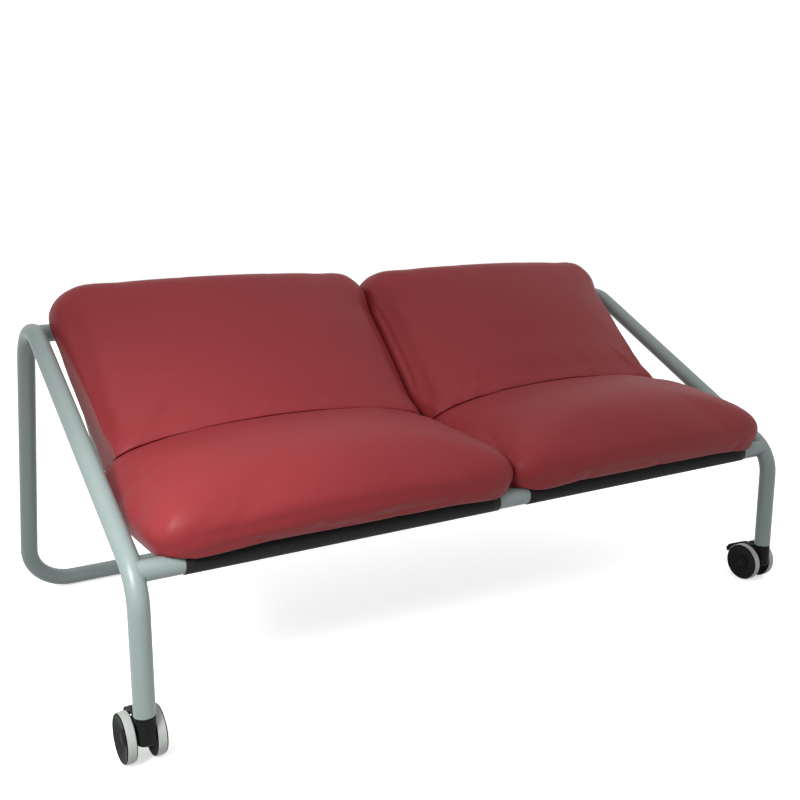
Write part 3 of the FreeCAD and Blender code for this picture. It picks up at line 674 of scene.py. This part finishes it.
@dataclass
class Sling:
    """One black cloth sling, with a tunnel sewn round each of its three rails."""

    finishes: Finishes
    side: Side
    columns: int = 28
    thickness: float = 0.0015
    hem: float = 0.025
    hem_gap: float = 0.0017
    tube_radius: float = 0.016
    bar_radius: float = 0.008
    corner_bend: float = 0.012
    hem_bend: float = 0.004
    hem_turn: float = math.radians(80)
    tunnel_turn: float = math.radians(260)
    front_wrap: float = math.radians(80)
    rear_wrap: float = math.radians(125)
    slope: Vector = Vector((0, 1, 1)).normalized()
    slope_angle: float = math.radians(45)
    under_lengths: int = 12
    back_lengths: int = 16
    hem_lengths: int = 3
    corner_steps: int = 8
    tunnel_steps: int = 30
    hem_steps: int = 6

    def build(self) -> None:
        """Lays the long cloth over its rails and straps it to the cradle rail."""
        name = f"{self.side.word}_sling"
        self.low, self.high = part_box(name)
        cloth = self._cloth(f"{name}_cloth")
        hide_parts(name)
        self._strap(f"{name}_strap")

    def _cloth(self, name: str) -> bpy.types.Object:
        """Runs the cloth from the front tunnel under the seat, and up the back to the top tunnel.

        Args:
            name: The piece's name.

        Returns:
            The cloth.
        """
        over = self.tube_radius + self.thickness / 2
        front, top = middle_of("front_rail"), middle_of("top_rail")
        form = bmesh.new()
        start = self._first_row(form, front + Vector((0, 0, over)))
        self._tunnel(form, start, front, over, self.tunnel_turn, Vector((0, 1, 0)), 1)
        outward = Vector((0, -self.slope.z, self.slope.y))
        touch = top + outward * over
        rise = (touch.z - front.z - over) / self.slope.z
        corner = touch - self.slope * rise
        setback = self.corner_bend * math.tan(self.slope_angle / 2)
        row = carry_straight(form, start, Vector((0, corner.y - setback - front.y, 0)), self.under_lengths)
        turning = corner + Vector((0, -setback, self.corner_bend))
        row = carry_round(form, row, turning, Vector((1, 0, 0)), self.slope_angle, self.corner_steps)
        row = carry_straight(form, row, self.slope * (rise - setback), self.back_lengths)
        self._tunnel(form, row, top, over, self.tunnel_turn, -self.slope, -1)
        return self._finish(name, form, ["front_rail", "top_rail"])

    def _strap(self, name: str) -> None:
        """Runs the strip that is sewn under the cloth and round the cradle rail.

        Args:
            name: The piece's name.
        """
        around = self.bar_radius + self.thickness / 2
        rail = f"{self.side.word}_cradle_rail"
        centre = middle_of(rail)
        form = bmesh.new()
        start = self._first_row(form, centre - Vector((0, 0, around)))
        self._tunnel(form, start, centre, around, self.front_wrap, Vector((0, -1, 0)), -1)
        self._tunnel(form, start, centre, around, self.rear_wrap, self.slope, 1)
        self._finish(name, form, [rail])

    def _first_row(self, form: bmesh.types.BMesh, place: Vector) -> Row:
        """Draws the thread line across the cloth that the rest is carried on from.

        Args:
            form: The cloth's mesh.
            place: Any point on the line.

        Returns:
            The line's edges.
        """
        start = Vector((self.low.x, place.y, place.z))
        step = Vector(((self.high.x - self.low.x) / self.columns, 0, 0))
        point = bmesh.ops.create_vert(form, co=start)["vert"][0]
        row = []
        for _ in range(self.columns):
            made = bmesh.ops.extrude_vert_indiv(form, verts=[point])
            point = made["verts"][0]
            bmesh.ops.translate(form, verts=[point], vec=step)
            row += made["edges"]
        return row

    def _tunnel(
        self, form: bmesh.types.BMesh, row: Row, centre: Vector, radius: float, angle: float, along: Vector, way: int
    ) -> None:
        """Wraps the cloth round a rail and turns its end under as a hem.

        Args:
            form: The cloth's mesh.
            row: The edges to carry on.
            centre: The rail's middle.
            radius: Middle of the cloth from the rail's middle.
            angle: How far it wraps.
            along: The way that the hem runs.
            way: One to wrap right-handed about +X, minus one to wrap the other way.
        """
        axis = Vector((way, 0, 0))
        row = carry_round(form, row, centre, axis, angle, self.tunnel_steps)
        heading = Matrix.Rotation(self.hem_turn * way, 3, "X") @ along
        lean = math.pi / 2 - self.hem_turn
        rise = radius - self.hem_gap + radius * math.sin(lean) - self.hem_bend * (1 - math.cos(self.hem_turn))
        row = carry_straight(form, row, heading * (rise / math.cos(lean)))
        turning = row[0].verts[0].co + Matrix.Rotation(-way * math.pi / 2, 3, "X") @ heading * self.hem_bend
        row = carry_round(form, row, turning, -axis, self.hem_turn, self.hem_steps)
        carry_straight(form, row, along * self.hem, self.hem_lengths)

    def _finish(self, name: str, form: bmesh.types.BMesh, rails: list[str]) -> bpy.types.Object:
        """Gives the cloth its weave, its thickness and its finish.

        Args:
            name: The piece's name.
            form: The cloth's mesh, which is freed.
            rails: What it is stretched on; not used.

        Returns:
            The finished cloth.
        """
        bmesh.ops.remove_doubles(form, verts=form.verts[:], dist=FINE_WELD)
        length = self._lay_out(form)
        piece = new_piece(name, form, FRAME_BODY)
        wall = piece.modifiers.new("thickness", "SOLIDIFY")
        wall.thickness = self.thickness
        wall.offset = 0
        self.finishes.dress(piece, Slot.BLACK_CLOTH)
        log.info("%s is cut %.3f m long", name, length)
        return piece

    def _lay_out(self, form: bmesh.types.BMesh) -> float:
        """Marks on the cloth how far along and across it each point lies, for its weave.

        Args:
            form: The cloth's mesh.

        Returns:
            The whole length.
        """
        left = min(point.co.x for point in form.verts)
        rim = {point for point in form.verts if point.co.x - left < FINE_WELD}
        ends = (end for end in rim if sum(edge.other_vert(end) in rim for edge in end.link_edges) == 1)
        point = min(ends, key=lambda end: end.co.y)
        run, runs, last = 0.0, {}, None
        while point:
            across = point
            while across:
                runs[across] = run
                across = next(
                    (
                        edge.other_vert(across)
                        for edge in across.link_edges
                        if edge.other_vert(across).co.x > across.co.x + FINE_WELD
                    ),
                    None,
                )
            onward = next(
                (edge.other_vert(point) for edge in point.link_edges if edge.other_vert(point) in rim - {last}), None
            )
            run += (onward.co - point.co).length if onward else 0.0
            last, point = point, onward
        marks = form.loops.layers.uv.new("laid_flat")
        for face in form.faces:
            for corner in face.loops:
                corner[marks].uv = (corner.vert.co.x, runs[corner.vert])
        return run


@dataclass(frozen=True)
class Softness:
    """How far one kind of cushion departs from its plain cover, in metres, rounds and shares."""

    relax_rounds: int
    fullness: float
    crease_fill: float
    far_fill: float
    crease_limit: float
    outer_limit: float
    belly: float = 0.0
    front_sag: float = 0.0
    end_sag: float = 0.0
    side_ease: float = 0.0
    shoulder: float = 0.0
    toe_drop: float = 0.0
    tuck_depth: float = 0.0


SOFTNESS = {
    CushionKind.SEAT: Softness(
        relax_rounds=60, fullness=0.9, crease_fill=0.012, far_fill=0.005, crease_limit=0.641, outer_limit=0.641,
        belly=0.012, front_sag=0.003, end_sag=0.011, tuck_depth=0.004,
    ),
    CushionKind.BACK: Softness(
        relax_rounds=10, fullness=0.3, crease_fill=0.018, far_fill=0.0015, crease_limit=0.606, outer_limit=0.643,
        side_ease=0.014, shoulder=0.006, toe_drop=0.045,
    ),
}


@dataclass
class Cushion:
    """A pair of leather cushions, swollen by cloth simulation from the shell of the left one's cover."""

    finishes: Finishes
    kind: CushionKind
    neighbours: Sequence[bpy.types.Object] = ()
    voxel: float = 0.006
    travel: float = 0.024
    clearance: float = 0.0012
    frames: int = 20
    pressure: float = 4.0
    even_rounds: int = 40
    fold_share: float = 0.15
    relax_factor: float = 0.5
    base_band: float = 0.003
    belly_height: float = 0.042
    belly_reach: float = 0.030
    sag_reach: float = 0.030
    sag_height: float = 0.110
    sag_power: float = 1.5
    end_reach: float = 0.120
    fill_from: float = 0.130
    fill_to: float = 0.060
    toe_rear: float = 0.030
    toe_front: float = 0.080
    settle_rounds: int = 4
    length: float = 0.360
    inner_limit: float = 0.0008
    tuck_length: float = 0.110
    tuck_spacing: float = 0.026
    tuck_band: float = 0.045
    tuck_sharpness: float = 5.0
    shared_gap: float = 0.5
    fill: float = 0.85

    @property
    def softness(self) -> Softness:
        """The sizes to shape this kind with."""
        return SOFTNESS[self.kind]

    @property
    def base_normal(self) -> Vector:
        """The way that the resting face looks: down under a seat, and square to the slope behind a back."""
        return Vector((0, 0, -1)) if self.kind is CushionKind.SEAT else Vector((0, 1, -1)).normalized()

    @property
    def away(self) -> np.ndarray:
        """The way along the cushion from the crease between seat and back, as a unit vector."""
        return np.array((0, -1, 0)) if self.kind is CushionKind.SEAT else np.array((0, 1, 1)) / math.sqrt(2)

    def build(self) -> list[bpy.types.Object]:
        """Makes both cushions and takes the covers' places.

        Returns:
            The left and the right cushion.
        """
        piece = self._shell()
        self._remesh(piece)
        resting = self._relax(piece)
        self._swell(piece, resting)
        self._hang(piece)
        self._square_up(piece)
        if self.softness.toe_drop:
            self._settle(piece)
        pair = [piece, self._twin(piece)]
        for side, cushion in zip(Side, pair):
            self._tuck(cushion)
            self._finish(cushion, side)
        return pair

    def _finish(self, piece: bpy.types.Object, side: Side) -> None:
        """Smooths and covers one cushion.

        Args:
            piece: The cushion.
            side: The half of the sofa that it is on.
        """
        skin = piece.modifiers.new("smooth_skin", "SUBSURF")
        skin.levels = skin.render_levels = 1
        piece.data.shade_smooth()
        self.finishes.dress(piece, Slot.RED_LEATHER)
        name = f"{side.word}_{self.kind.value}"
        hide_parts(f"{name}_cover", f"{name}_foam")

    def _shell(self) -> bpy.types.Object:
        """Copies the left cover's outside without its foam pocket.

        Returns:
            The closed shell.
        """
        form = bmesh.new()
        form.from_mesh(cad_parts[f"left_{self.kind.value}_cover"].data)
        bmesh.ops.remove_doubles(form, verts=form.verts[:], dist=WELD)
        outer = max(form.verts, key=lambda point: point.co.z)
        kept, front = {outer}, [outer]
        while front:
            point = front.pop()
            for edge in point.link_edges:
                other = edge.other_vert(point)
                if other not in kept:
                    kept.add(other)
                    front.append(other)
        bmesh.ops.delete(form, geom=[point for point in form.verts if point not in kept], context="VERTS")
        return new_piece(f"left_{self.kind.value}_cushion", form, FRAME_BODY)

    def _remesh(self, piece: bpy.types.Object) -> None:
        """Gives the shell an even mesh.

        Args:
            piece: The shell.
        """
        bpy.context.view_layer.objects.active = piece
        piece.data.remesh_voxel_size = self.voxel
        bpy.ops.object.voxel_remesh()

    def _relax(self, piece: bpy.types.Object) -> list[int]:
        """Softens every edge, so that the shell is slack where pressure will fill it.

        Args:
            piece: The remeshed shell.

        Returns:
            The points of the resting face, which keep their place.
        """
        form = bmesh.new()
        form.from_mesh(piece.data)
        plane = max(self.base_normal.dot(point.co) for point in form.verts)
        free, resting = [], []
        for point in form.verts:
            (resting if plane - self.base_normal.dot(point.co) < self.base_band else free).append(point)
        for _ in range(self.softness.relax_rounds):
            bmesh.ops.smooth_vert(
                form, verts=free, factor=self.relax_factor, use_axis_x=True, use_axis_y=True, use_axis_z=True
            )
        indices = [point.index for point in resting]
        form.to_mesh(piece.data)
        form.free()
        return indices

    def _swell(self, piece: bpy.types.Object, resting: list[int]) -> None:
        """Fills the cover, evens out most of its folds and keeps it off its neighbours.

        Args:
            piece: The slack shell.
            resting: Points that stay where they are.
        """
        starts = rows_of(piece.data.vertices, "co")
        raw = self._simulate(piece, resting) - starts
        smooth = self._even(piece.data, raw)
        steps = (smooth + (raw - smooth) * self.fold_share) * self.softness.fullness
        lengths = np.linalg.norm(steps, axis=1)
        limits = np.minimum(self._rooms(starts), self.travel)
        steps *= np.minimum(1, limits / np.maximum(lengths, 1e-9))[:, None]
        self._put(piece.data, starts + steps)
        log.info("%s swells by up to %.1f mm", piece.name, lengths.max() * 1000)

    def _hang(self, piece: bpy.types.Object) -> None:
        """Rounds out the lower rim, and lets it sag past the front rail and the ends of its sling.

        Args:
            piece: The swollen cushion.
        """
        rail_low, rail_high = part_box("front_rail")
        sling_low, sling_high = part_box("left_sling")
        rail_y = (rail_low.y + rail_high.y) / 2
        places, normals = rows_of(piece.data.vertices, "co"), rows_of(piece.data.vertex_normals, "vector")
        heights = places[:, 2] - places[:, 2].min()
        bulge = np.exp(-(((heights - self.belly_height) / self.belly_reach) ** 2))
        places[:, :2] += normals[:, :2] * (self.softness.belly * bulge)[:, None]
        over_rail = np.clip((rail_y - places[:, 1]) / self.sag_reach, 0, 1) ** self.sag_power
        past_end = np.maximum(sling_low.x - places[:, 0], places[:, 0] - sling_high.x)
        over_end = np.clip(past_end / self.sag_reach, 0, 1) ** self.sag_power
        near_end = self._fade(past_end, -self.end_reach, 0.0)
        front = self.softness.front_sag + (self.softness.end_sag - self.softness.front_sag) * near_end
        low = 1 - np.clip(heights / self.sag_height, 0, 1)
        places[:, 2] -= np.maximum(front * over_rail, self.softness.end_sag * over_end) * low
        self._put(piece.data, places)

    def _square_up(self, piece: bpy.types.Object) -> None:
        """Fills the end faces' rims, swells the shoulders, eases the long edges and trues the sides.

        Args:
            piece: The swollen cushion.
        """
        places, normals = rows_of(piece.data.vertices, "co"), rows_of(piece.data.vertex_normals, "vector")
        reach = self._reach(places)
        facing = np.clip(normals @ self.away, -1, 1)
        rim = 2 * np.abs(facing) * np.sqrt(1 - facing**2)
        near_crease = self._fade(reach, self.fill_from, self.fill_to)
        near_far = self._fade(reach.max() - reach, self.fill_from, self.fill_to)
        fill = np.where(facing < 0, self.softness.crease_fill * near_crease, self.softness.far_fill * near_far)
        upward = np.clip(-normals @ np.array(self.base_normal), 0, 1)
        sideways = np.abs(normals[:, 0])
        ease = self.softness.side_ease * 2 * sideways * upward * (1 - near_far / 2)
        swell = fill * rim + self.softness.shoulder * near_far * sideways**2
        lengths = np.minimum(swell, self._rooms(places)) - ease
        places += normals * lengths[:, None]
        along = np.clip(reach / self.length, 0, 1)
        outer = self.softness.crease_limit + (self.softness.outer_limit - self.softness.crease_limit) * along
        places[:, 0] = np.clip(places[:, 0], -outer, -self.inner_limit)
        self._put(piece.data, places)

    def _settle(self, piece: bpy.types.Object) -> None:
        """Lets the low front edge of a back slide down its slope until it rests on the seat.

        Args:
            piece: The squared cushion.
        """
        places = rows_of(piece.data.vertices, "co")
        rise = -places @ np.array(self.base_normal)
        front = self._fade(rise - rise.min(), self.toe_rear, self.toe_front)
        left = self.softness.toe_drop * front * self._fade(self._reach(places), self.fill_from, 0.0)
        for _ in range(self.settle_rounds):
            step = np.minimum(left, self._rooms(places))
            places -= self.away * step[:, None]
            left -= step
        self._put(piece.data, places)

    def _reach(self, places: np.ndarray) -> np.ndarray:
        """Measures how far along the cushion each point is from the crease, in metres."""
        along = places @ self.away
        return along - along.min()

    def _tuck(self, piece: bpy.types.Object) -> None:
        """Presses shallow tucks into the low front edge, where the cover is pulled under.

        Args:
            piece: The swollen cushion.
        """
        places, normals = rows_of(piece.data.vertices, "co"), rows_of(piece.data.vertex_normals, "vector")
        heights = places[:, 2] - places[:, 2].min()
        facing = np.clip(-normals[:, 1], 0, 1) * self._fade(heights, self.tuck_band, self.tuck_band / 3)
        stretch = np.array((1 / self.tuck_length, 1 / self.tuck_length, 1 / self.tuck_spacing))
        swells = np.array([noise.noise(place) for place in places * stretch])
        ridges = np.clip(1 - np.abs(swells) * self.tuck_sharpness, 0, 1) ** 2
        places -= normals * (self.softness.tuck_depth * facing * ridges)[:, None]
        self._put(piece.data, places)

    def _fade(self, value: np.ndarray, start: float, end: float) -> np.ndarray:
        """Goes smoothly from nothing to one.

        Args:
            value: What it depends on.
            start: Where the result is nothing.
            end: Where the result is one.

        Returns:
            The share for each value.
        """
        share = np.clip((value - start) / (end - start), 0, 1)
        return share * share * (3 - 2 * share)

    def _put(self, mesh: bpy.types.Mesh, places: np.ndarray) -> None:
        """Moves a mesh's points to one row of x, y and z each."""
        mesh.vertices.foreach_set("co", places.ravel())
        mesh.update()

    def _simulate(self, piece: bpy.types.Object, resting: list[int]) -> np.ndarray:
        """Runs the cloth simulation under inner pressure.

        Args:
            piece: The slack shell.
            resting: Points that stay where they are.

        Returns:
            The swollen points.
        """
        piece.vertex_groups.new(name="resting").add(resting, 1.0, "REPLACE")
        cloth = piece.modifiers.new("swell", "CLOTH")
        cloth.settings.vertex_group_mass = "resting"
        cloth.settings.use_pressure = True
        cloth.settings.uniform_pressure_force = self.pressure
        cloth.settings.effector_weights.gravity = 0
        cloth.collision_settings.use_collision = False
        scene = bpy.context.scene
        for number in range(1, self.frames + 1):
            scene.frame_set(number)
        swollen = piece.evaluated_get(bpy.context.evaluated_depsgraph_get())
        ends = rows_of(swollen.data.vertices, "co")
        piece.modifiers.remove(cloth)
        scene.frame_set(1)
        return ends

    def _even(self, mesh: bpy.types.Mesh, steps: np.ndarray) -> np.ndarray:
        """Spreads movement between neighbouring points, so that folds fade and the swelling stays.

        Args:
            mesh: The shell.
            steps: How far each point moved.

        Returns:
            The evened movement.
        """
        ends = np.array([edge.vertices[:] for edge in mesh.edges])
        count = np.bincount(ends.ravel(), minlength=len(steps))[:, None]
        for _ in range(self.even_rounds):
            total = np.zeros_like(steps)
            np.add.at(total, ends[:, 0], steps[ends[:, 1]])
            np.add.at(total, ends[:, 1], steps[ends[:, 0]])
            steps = (steps + total / count) / 2
        return steps

    def _rooms(self, starts: np.ndarray) -> np.ndarray:
        """Measures how far each point may move before it meets a neighbour.

        Args:
            starts: The points as they are now.

        Returns:
            Room for each point in metres.
        """
        rooms = np.full(len(starts), self.travel)
        for obstacle, share in self._obstacles():
            form = bmesh.new()
            form.from_mesh(obstacle.data)
            tree = BVHTree.FromBMesh(form)
            form.free()
            reach = self.travel / share + self.clearance
            for index, start in enumerate(starts):
                distance = tree.find_nearest(start, reach)[3]
                if distance is not None:
                    rooms[index] = min(rooms[index], max(0.0, (distance - self.clearance) * share))
        return rooms

    def _obstacles(self) -> list[tuple[bpy.types.Object, float]]:
        """Lists what the cushion may not meet.

        Returns:
            Each obstacle and the share of the gap that this cushion may take: all of it up to a tube or a
            finished cushion, and half of it up to a cover that will swell too.
        """
        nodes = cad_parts.items()
        hard = [node for name, node in nodes if name.endswith(("_tube", "_rail", "_bar"))]
        own = f"left_{self.kind.value}_cover"
        finished = tuple(f"{kind.value}_cover" for kind in CushionKind if self.neighbours and kind is not self.kind)
        soft = [
            node for name, node in nodes if name.endswith("_cover") and name != own and not name.endswith(finished)
        ]
        return [(piece, 1.0) for piece in [*hard, *self.neighbours]] + [(node, self.shared_gap) for node in soft]

    def _twin(self, piece: bpy.types.Object) -> bpy.types.Object:
        """Mirrors the left cushion to the right.

        Args:
            piece: The left cushion.

        Returns:
            The right cushion.
        """
        form = bmesh.new()
        form.from_mesh(piece.data)
        bmesh.ops.scale(form, verts=form.verts[:], vec=(-1, 1, 1))
        bmesh.ops.reverse_faces(form, faces=form.faces[:])
        return new_piece(f"right_{self.kind.value}_cushion", form, FRAME_BODY)


@dataclass
class Moulding:
    """A hard part with its edges broken, as a tool leaves them."""

    finishes: Finishes
    edge_round: float = 0.0007
    edge_segments: int = 2
    flat_angle: float = math.radians(0.4)

    def build(self, node: str, slot: Slot, body: str) -> None:
        """Copies a node's shape, rounds its edges and takes its place.

        Args:
            node: The node.
            slot: Its finish.
            body: The body that it moves with.
        """
        form = bmesh.new()
        form.from_mesh(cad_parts[node].data)
        bmesh.ops.remove_doubles(form, verts=form.verts[:], dist=FINE_WELD)
        bmesh.ops.dissolve_limit(form, angle_limit=self.flat_angle, verts=form.verts[:], edges=form.edges[:])
        sharp = [edge for edge in form.edges if edge.is_manifold and edge.calc_face_angle() > SHARP_ANGLE]
        bmesh.ops.bevel(
            form, geom=sharp, offset=self.edge_round, offset_type="OFFSET", affect="EDGES",
            segments=self.edge_segments, profile=0.5, material=-1, clamp_overlap=True,
        )
        piece = new_piece(f"{node}_moulded", form, body)
        even = piece.modifiers.new("even_shading", "WEIGHTED_NORMAL")
        even.keep_sharp = True
        self.finishes.dress(piece, slot)
        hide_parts(node)


@dataclass
class Caster:
    """One twin-wheel caster: leg socket, swivelling housing, two wheels and the brake pedal."""

    finishes: Finishes
    side: Side

    def build(self) -> None:
        """Makes the visible mouldings and dresses the steel inside them."""
        moulding = Moulding(self.finishes)
        word = self.side.word
        moulding.build(f"{word}_leg_socket", Slot.BLACK_PLASTIC, FRAME_BODY)
        moulding.build(f"{word}_caster_housing", Slot.BLACK_PLASTIC, f"{word}_caster")
        moulding.build(f"{word}_brake_pedal", Slot.BLACK_PLASTIC, f"{word}_brake_pedal")
        for wheel in (f"{word}_inner_wheel", f"{word}_outer_wheel"):
            moulding.build(f"{wheel}_hub", Slot.BLACK_PLASTIC, wheel)
            moulding.build(f"{wheel}_cap", Slot.BLACK_PLASTIC, wheel)
            moulding.build(f"{wheel}_tyre", Slot.GREY_TYRE, wheel)
        for part in ("caster_stem", "caster_axle", "pedal_pin"):
            self.finishes.dress(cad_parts[f"{word}_{part}"], Slot.STEEL)


@dataclass
class SmallParts:
    """The glides under the hoop and the strips that hold the cushions."""

    finishes: Finishes

    def build(self) -> None:
        """Moulds the glides and dresses the hidden strips."""
        Moulding(self.finishes).build("rear_floor_glides", Slot.BLACK_PLASTIC, FRAME_BODY)
        for side in Side:
            self.finishes.dress(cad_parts[f"{side.word}_grip_strips"], Slot.BLACK_CLOTH)


@dataclass(frozen=True)
class SoftBox:
    """One studio soft box: where it hangs, what it looks at, its size, its grid's spread and its power."""

    name: str
    place: Vector
    aim: Vector
    size: float
    spread: float
    power: float


SOFT_BOXES = (
    SoftBox("left_box", Vector((-1.4, -1.0, 1.15)), Vector((-0.62, -0.36, 0.34)), 0.45, math.radians(50), 2.5),
    SoftBox("top_box", Vector((-0.3, -1.2, 3.2)), Vector((0, 0, 0.35)), 3.0, math.radians(180), 16.0),
)


@dataclass
class Studio:
    """The pale floor, the soft light and the camera of the product view."""

    eye: Vector = Vector((-1.0436, -1.6640, 0.7985))
    azimuth: float = math.radians(32.07)
    drop: float = math.radians(11.55)
    lens: float = 44.728
    floor_size: float = 14.0
    floor_shade: str = "#9c9c9c"
    floor_roughness: float = 0.9
    floor_glow: float = 0.55
    sky_light: float = 0.72

    def build(self) -> None:
        """Sets the whole stage."""
        self._floor()
        self._lights()
        self._world()
        self._camera()

    def _seen(self, tree: bpy.types.NodeTree) -> bpy.types.NodeSocket:
        """Tells rays that show a surface from rays that carry its light to others.

        Args:
            tree: The floor's or the world's tree.

        Returns:
            One for camera, mirror and glass rays, and nothing for the rest.
        """
        rays = add_node(tree, "ShaderNodeLightPath").outputs
        mirrored = add_node(
            tree, "ShaderNodeMath", {0: rays["Is Glossy Ray"], 1: rays["Is Transmission Ray"]}, operation="MAXIMUM"
        )
        seen = add_node(
            tree, "ShaderNodeMath", {0: rays["Is Camera Ray"], 1: mirrored.outputs["Value"]}, operation="MAXIMUM"
        )
        return seen.outputs["Value"]

    def _floor(self) -> None:
        """Lays a matt floor that is seen white, keeps the shadow and throws back a plain grey light."""
        form = bmesh.new()
        bmesh.ops.create_grid(form, x_segments=1, y_segments=1, size=self.floor_size / 2)
        mesh = bpy.data.meshes.new("studio_floor")
        form.to_mesh(mesh)
        form.free()
        floor = bpy.data.objects.new("studio_floor", mesh)
        bpy.context.scene.collection.objects.link(floor)
        paint = bpy.data.materials.new("studio_floor")
        paint.use_nodes = True
        tree = paint.node_tree
        shader = tree.nodes["Principled BSDF"]
        shader.inputs["Roughness"].default_value = self.floor_roughness
        shader.inputs["Specular IOR Level"].default_value = 0.0
        shader.inputs["Emission Color"].default_value = linear("#ffffff")
        seen = self._seen(tree)
        shade = add_node(
            tree,
            "ShaderNodeMix",
            {"Factor": seen, "A": linear(self.floor_shade), "B": linear("#ffffff")},
            data_type="RGBA",
        )
        tree.links.new(shade.outputs["Result"], shader.inputs["Base Color"])
        glow = add_node(tree, "ShaderNodeMath", {0: seen, 1: self.floor_glow}, operation="MULTIPLY")
        tree.links.new(glow.outputs["Value"], shader.inputs["Emission Strength"])
        mesh.materials.append(paint)

    def _lights(self) -> None:
        """Hangs the soft boxes: a gridded one close to the left end, and a wide one from above."""
        for box in SOFT_BOXES:
            light = bpy.data.lights.new(box.name, "AREA")
            light.size = box.size
            light.spread = box.spread
            light.energy = box.power
            lamp = bpy.data.objects.new(box.name, light)
            lamp.location = box.place
            lamp.rotation_euler = (box.aim - box.place).to_track_quat("-Z", "Y").to_euler()
            lamp.visible_camera = False
            bpy.context.scene.collection.objects.link(lamp)

    def _world(self) -> None:
        """Surrounds the sofa with a plain light that is seen as white."""
        world = bpy.data.worlds.new("studio")
        world.use_nodes = True
        tree = world.node_tree
        sky = tree.nodes["Background"]
        sky.inputs["Color"].default_value = linear("#ffffff")
        level = add_node(tree, "ShaderNodeMapRange", {"Value": self._seen(tree), "To Min": self.sky_light})
        tree.links.new(level.outputs["Result"], sky.inputs["Strength"])
        bpy.context.scene.world = world

    def _camera(self) -> None:
        """Stands the camera where the product view was taken."""
        level = Vector((math.sin(self.azimuth), math.cos(self.azimuth), 0))
        look = level * math.cos(self.drop) - Vector((0, 0, math.sin(self.drop)))
        data = bpy.data.cameras.new("product_view")
        data.lens = self.lens
        camera = bpy.data.objects.new("product_view", data)
        camera.location = self.eye
        camera.rotation_euler = look.to_track_quat("-Z", "Y").to_euler()
        bpy.context.scene.collection.objects.link(camera)
        bpy.context.scene.camera = camera
        bpy.context.scene.view_settings.view_transform = "Standard"


def main() -> None:
    """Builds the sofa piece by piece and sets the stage."""
    logging.basicConfig(level=logging.INFO, format="%(message)s")
    finishes = Finishes()
    TubeFrame(finishes).build()
    for side in Side:
        Sling(finishes, side).build()
    seats = Cushion(finishes, CushionKind.SEAT).build()
    Cushion(finishes, CushionKind.BACK, seats).build()
    for side in Side:
        Caster(finishes, side).build()
    SmallParts(finishes).build()
    Studio().build()


if __name__ == "__main__":
    main()
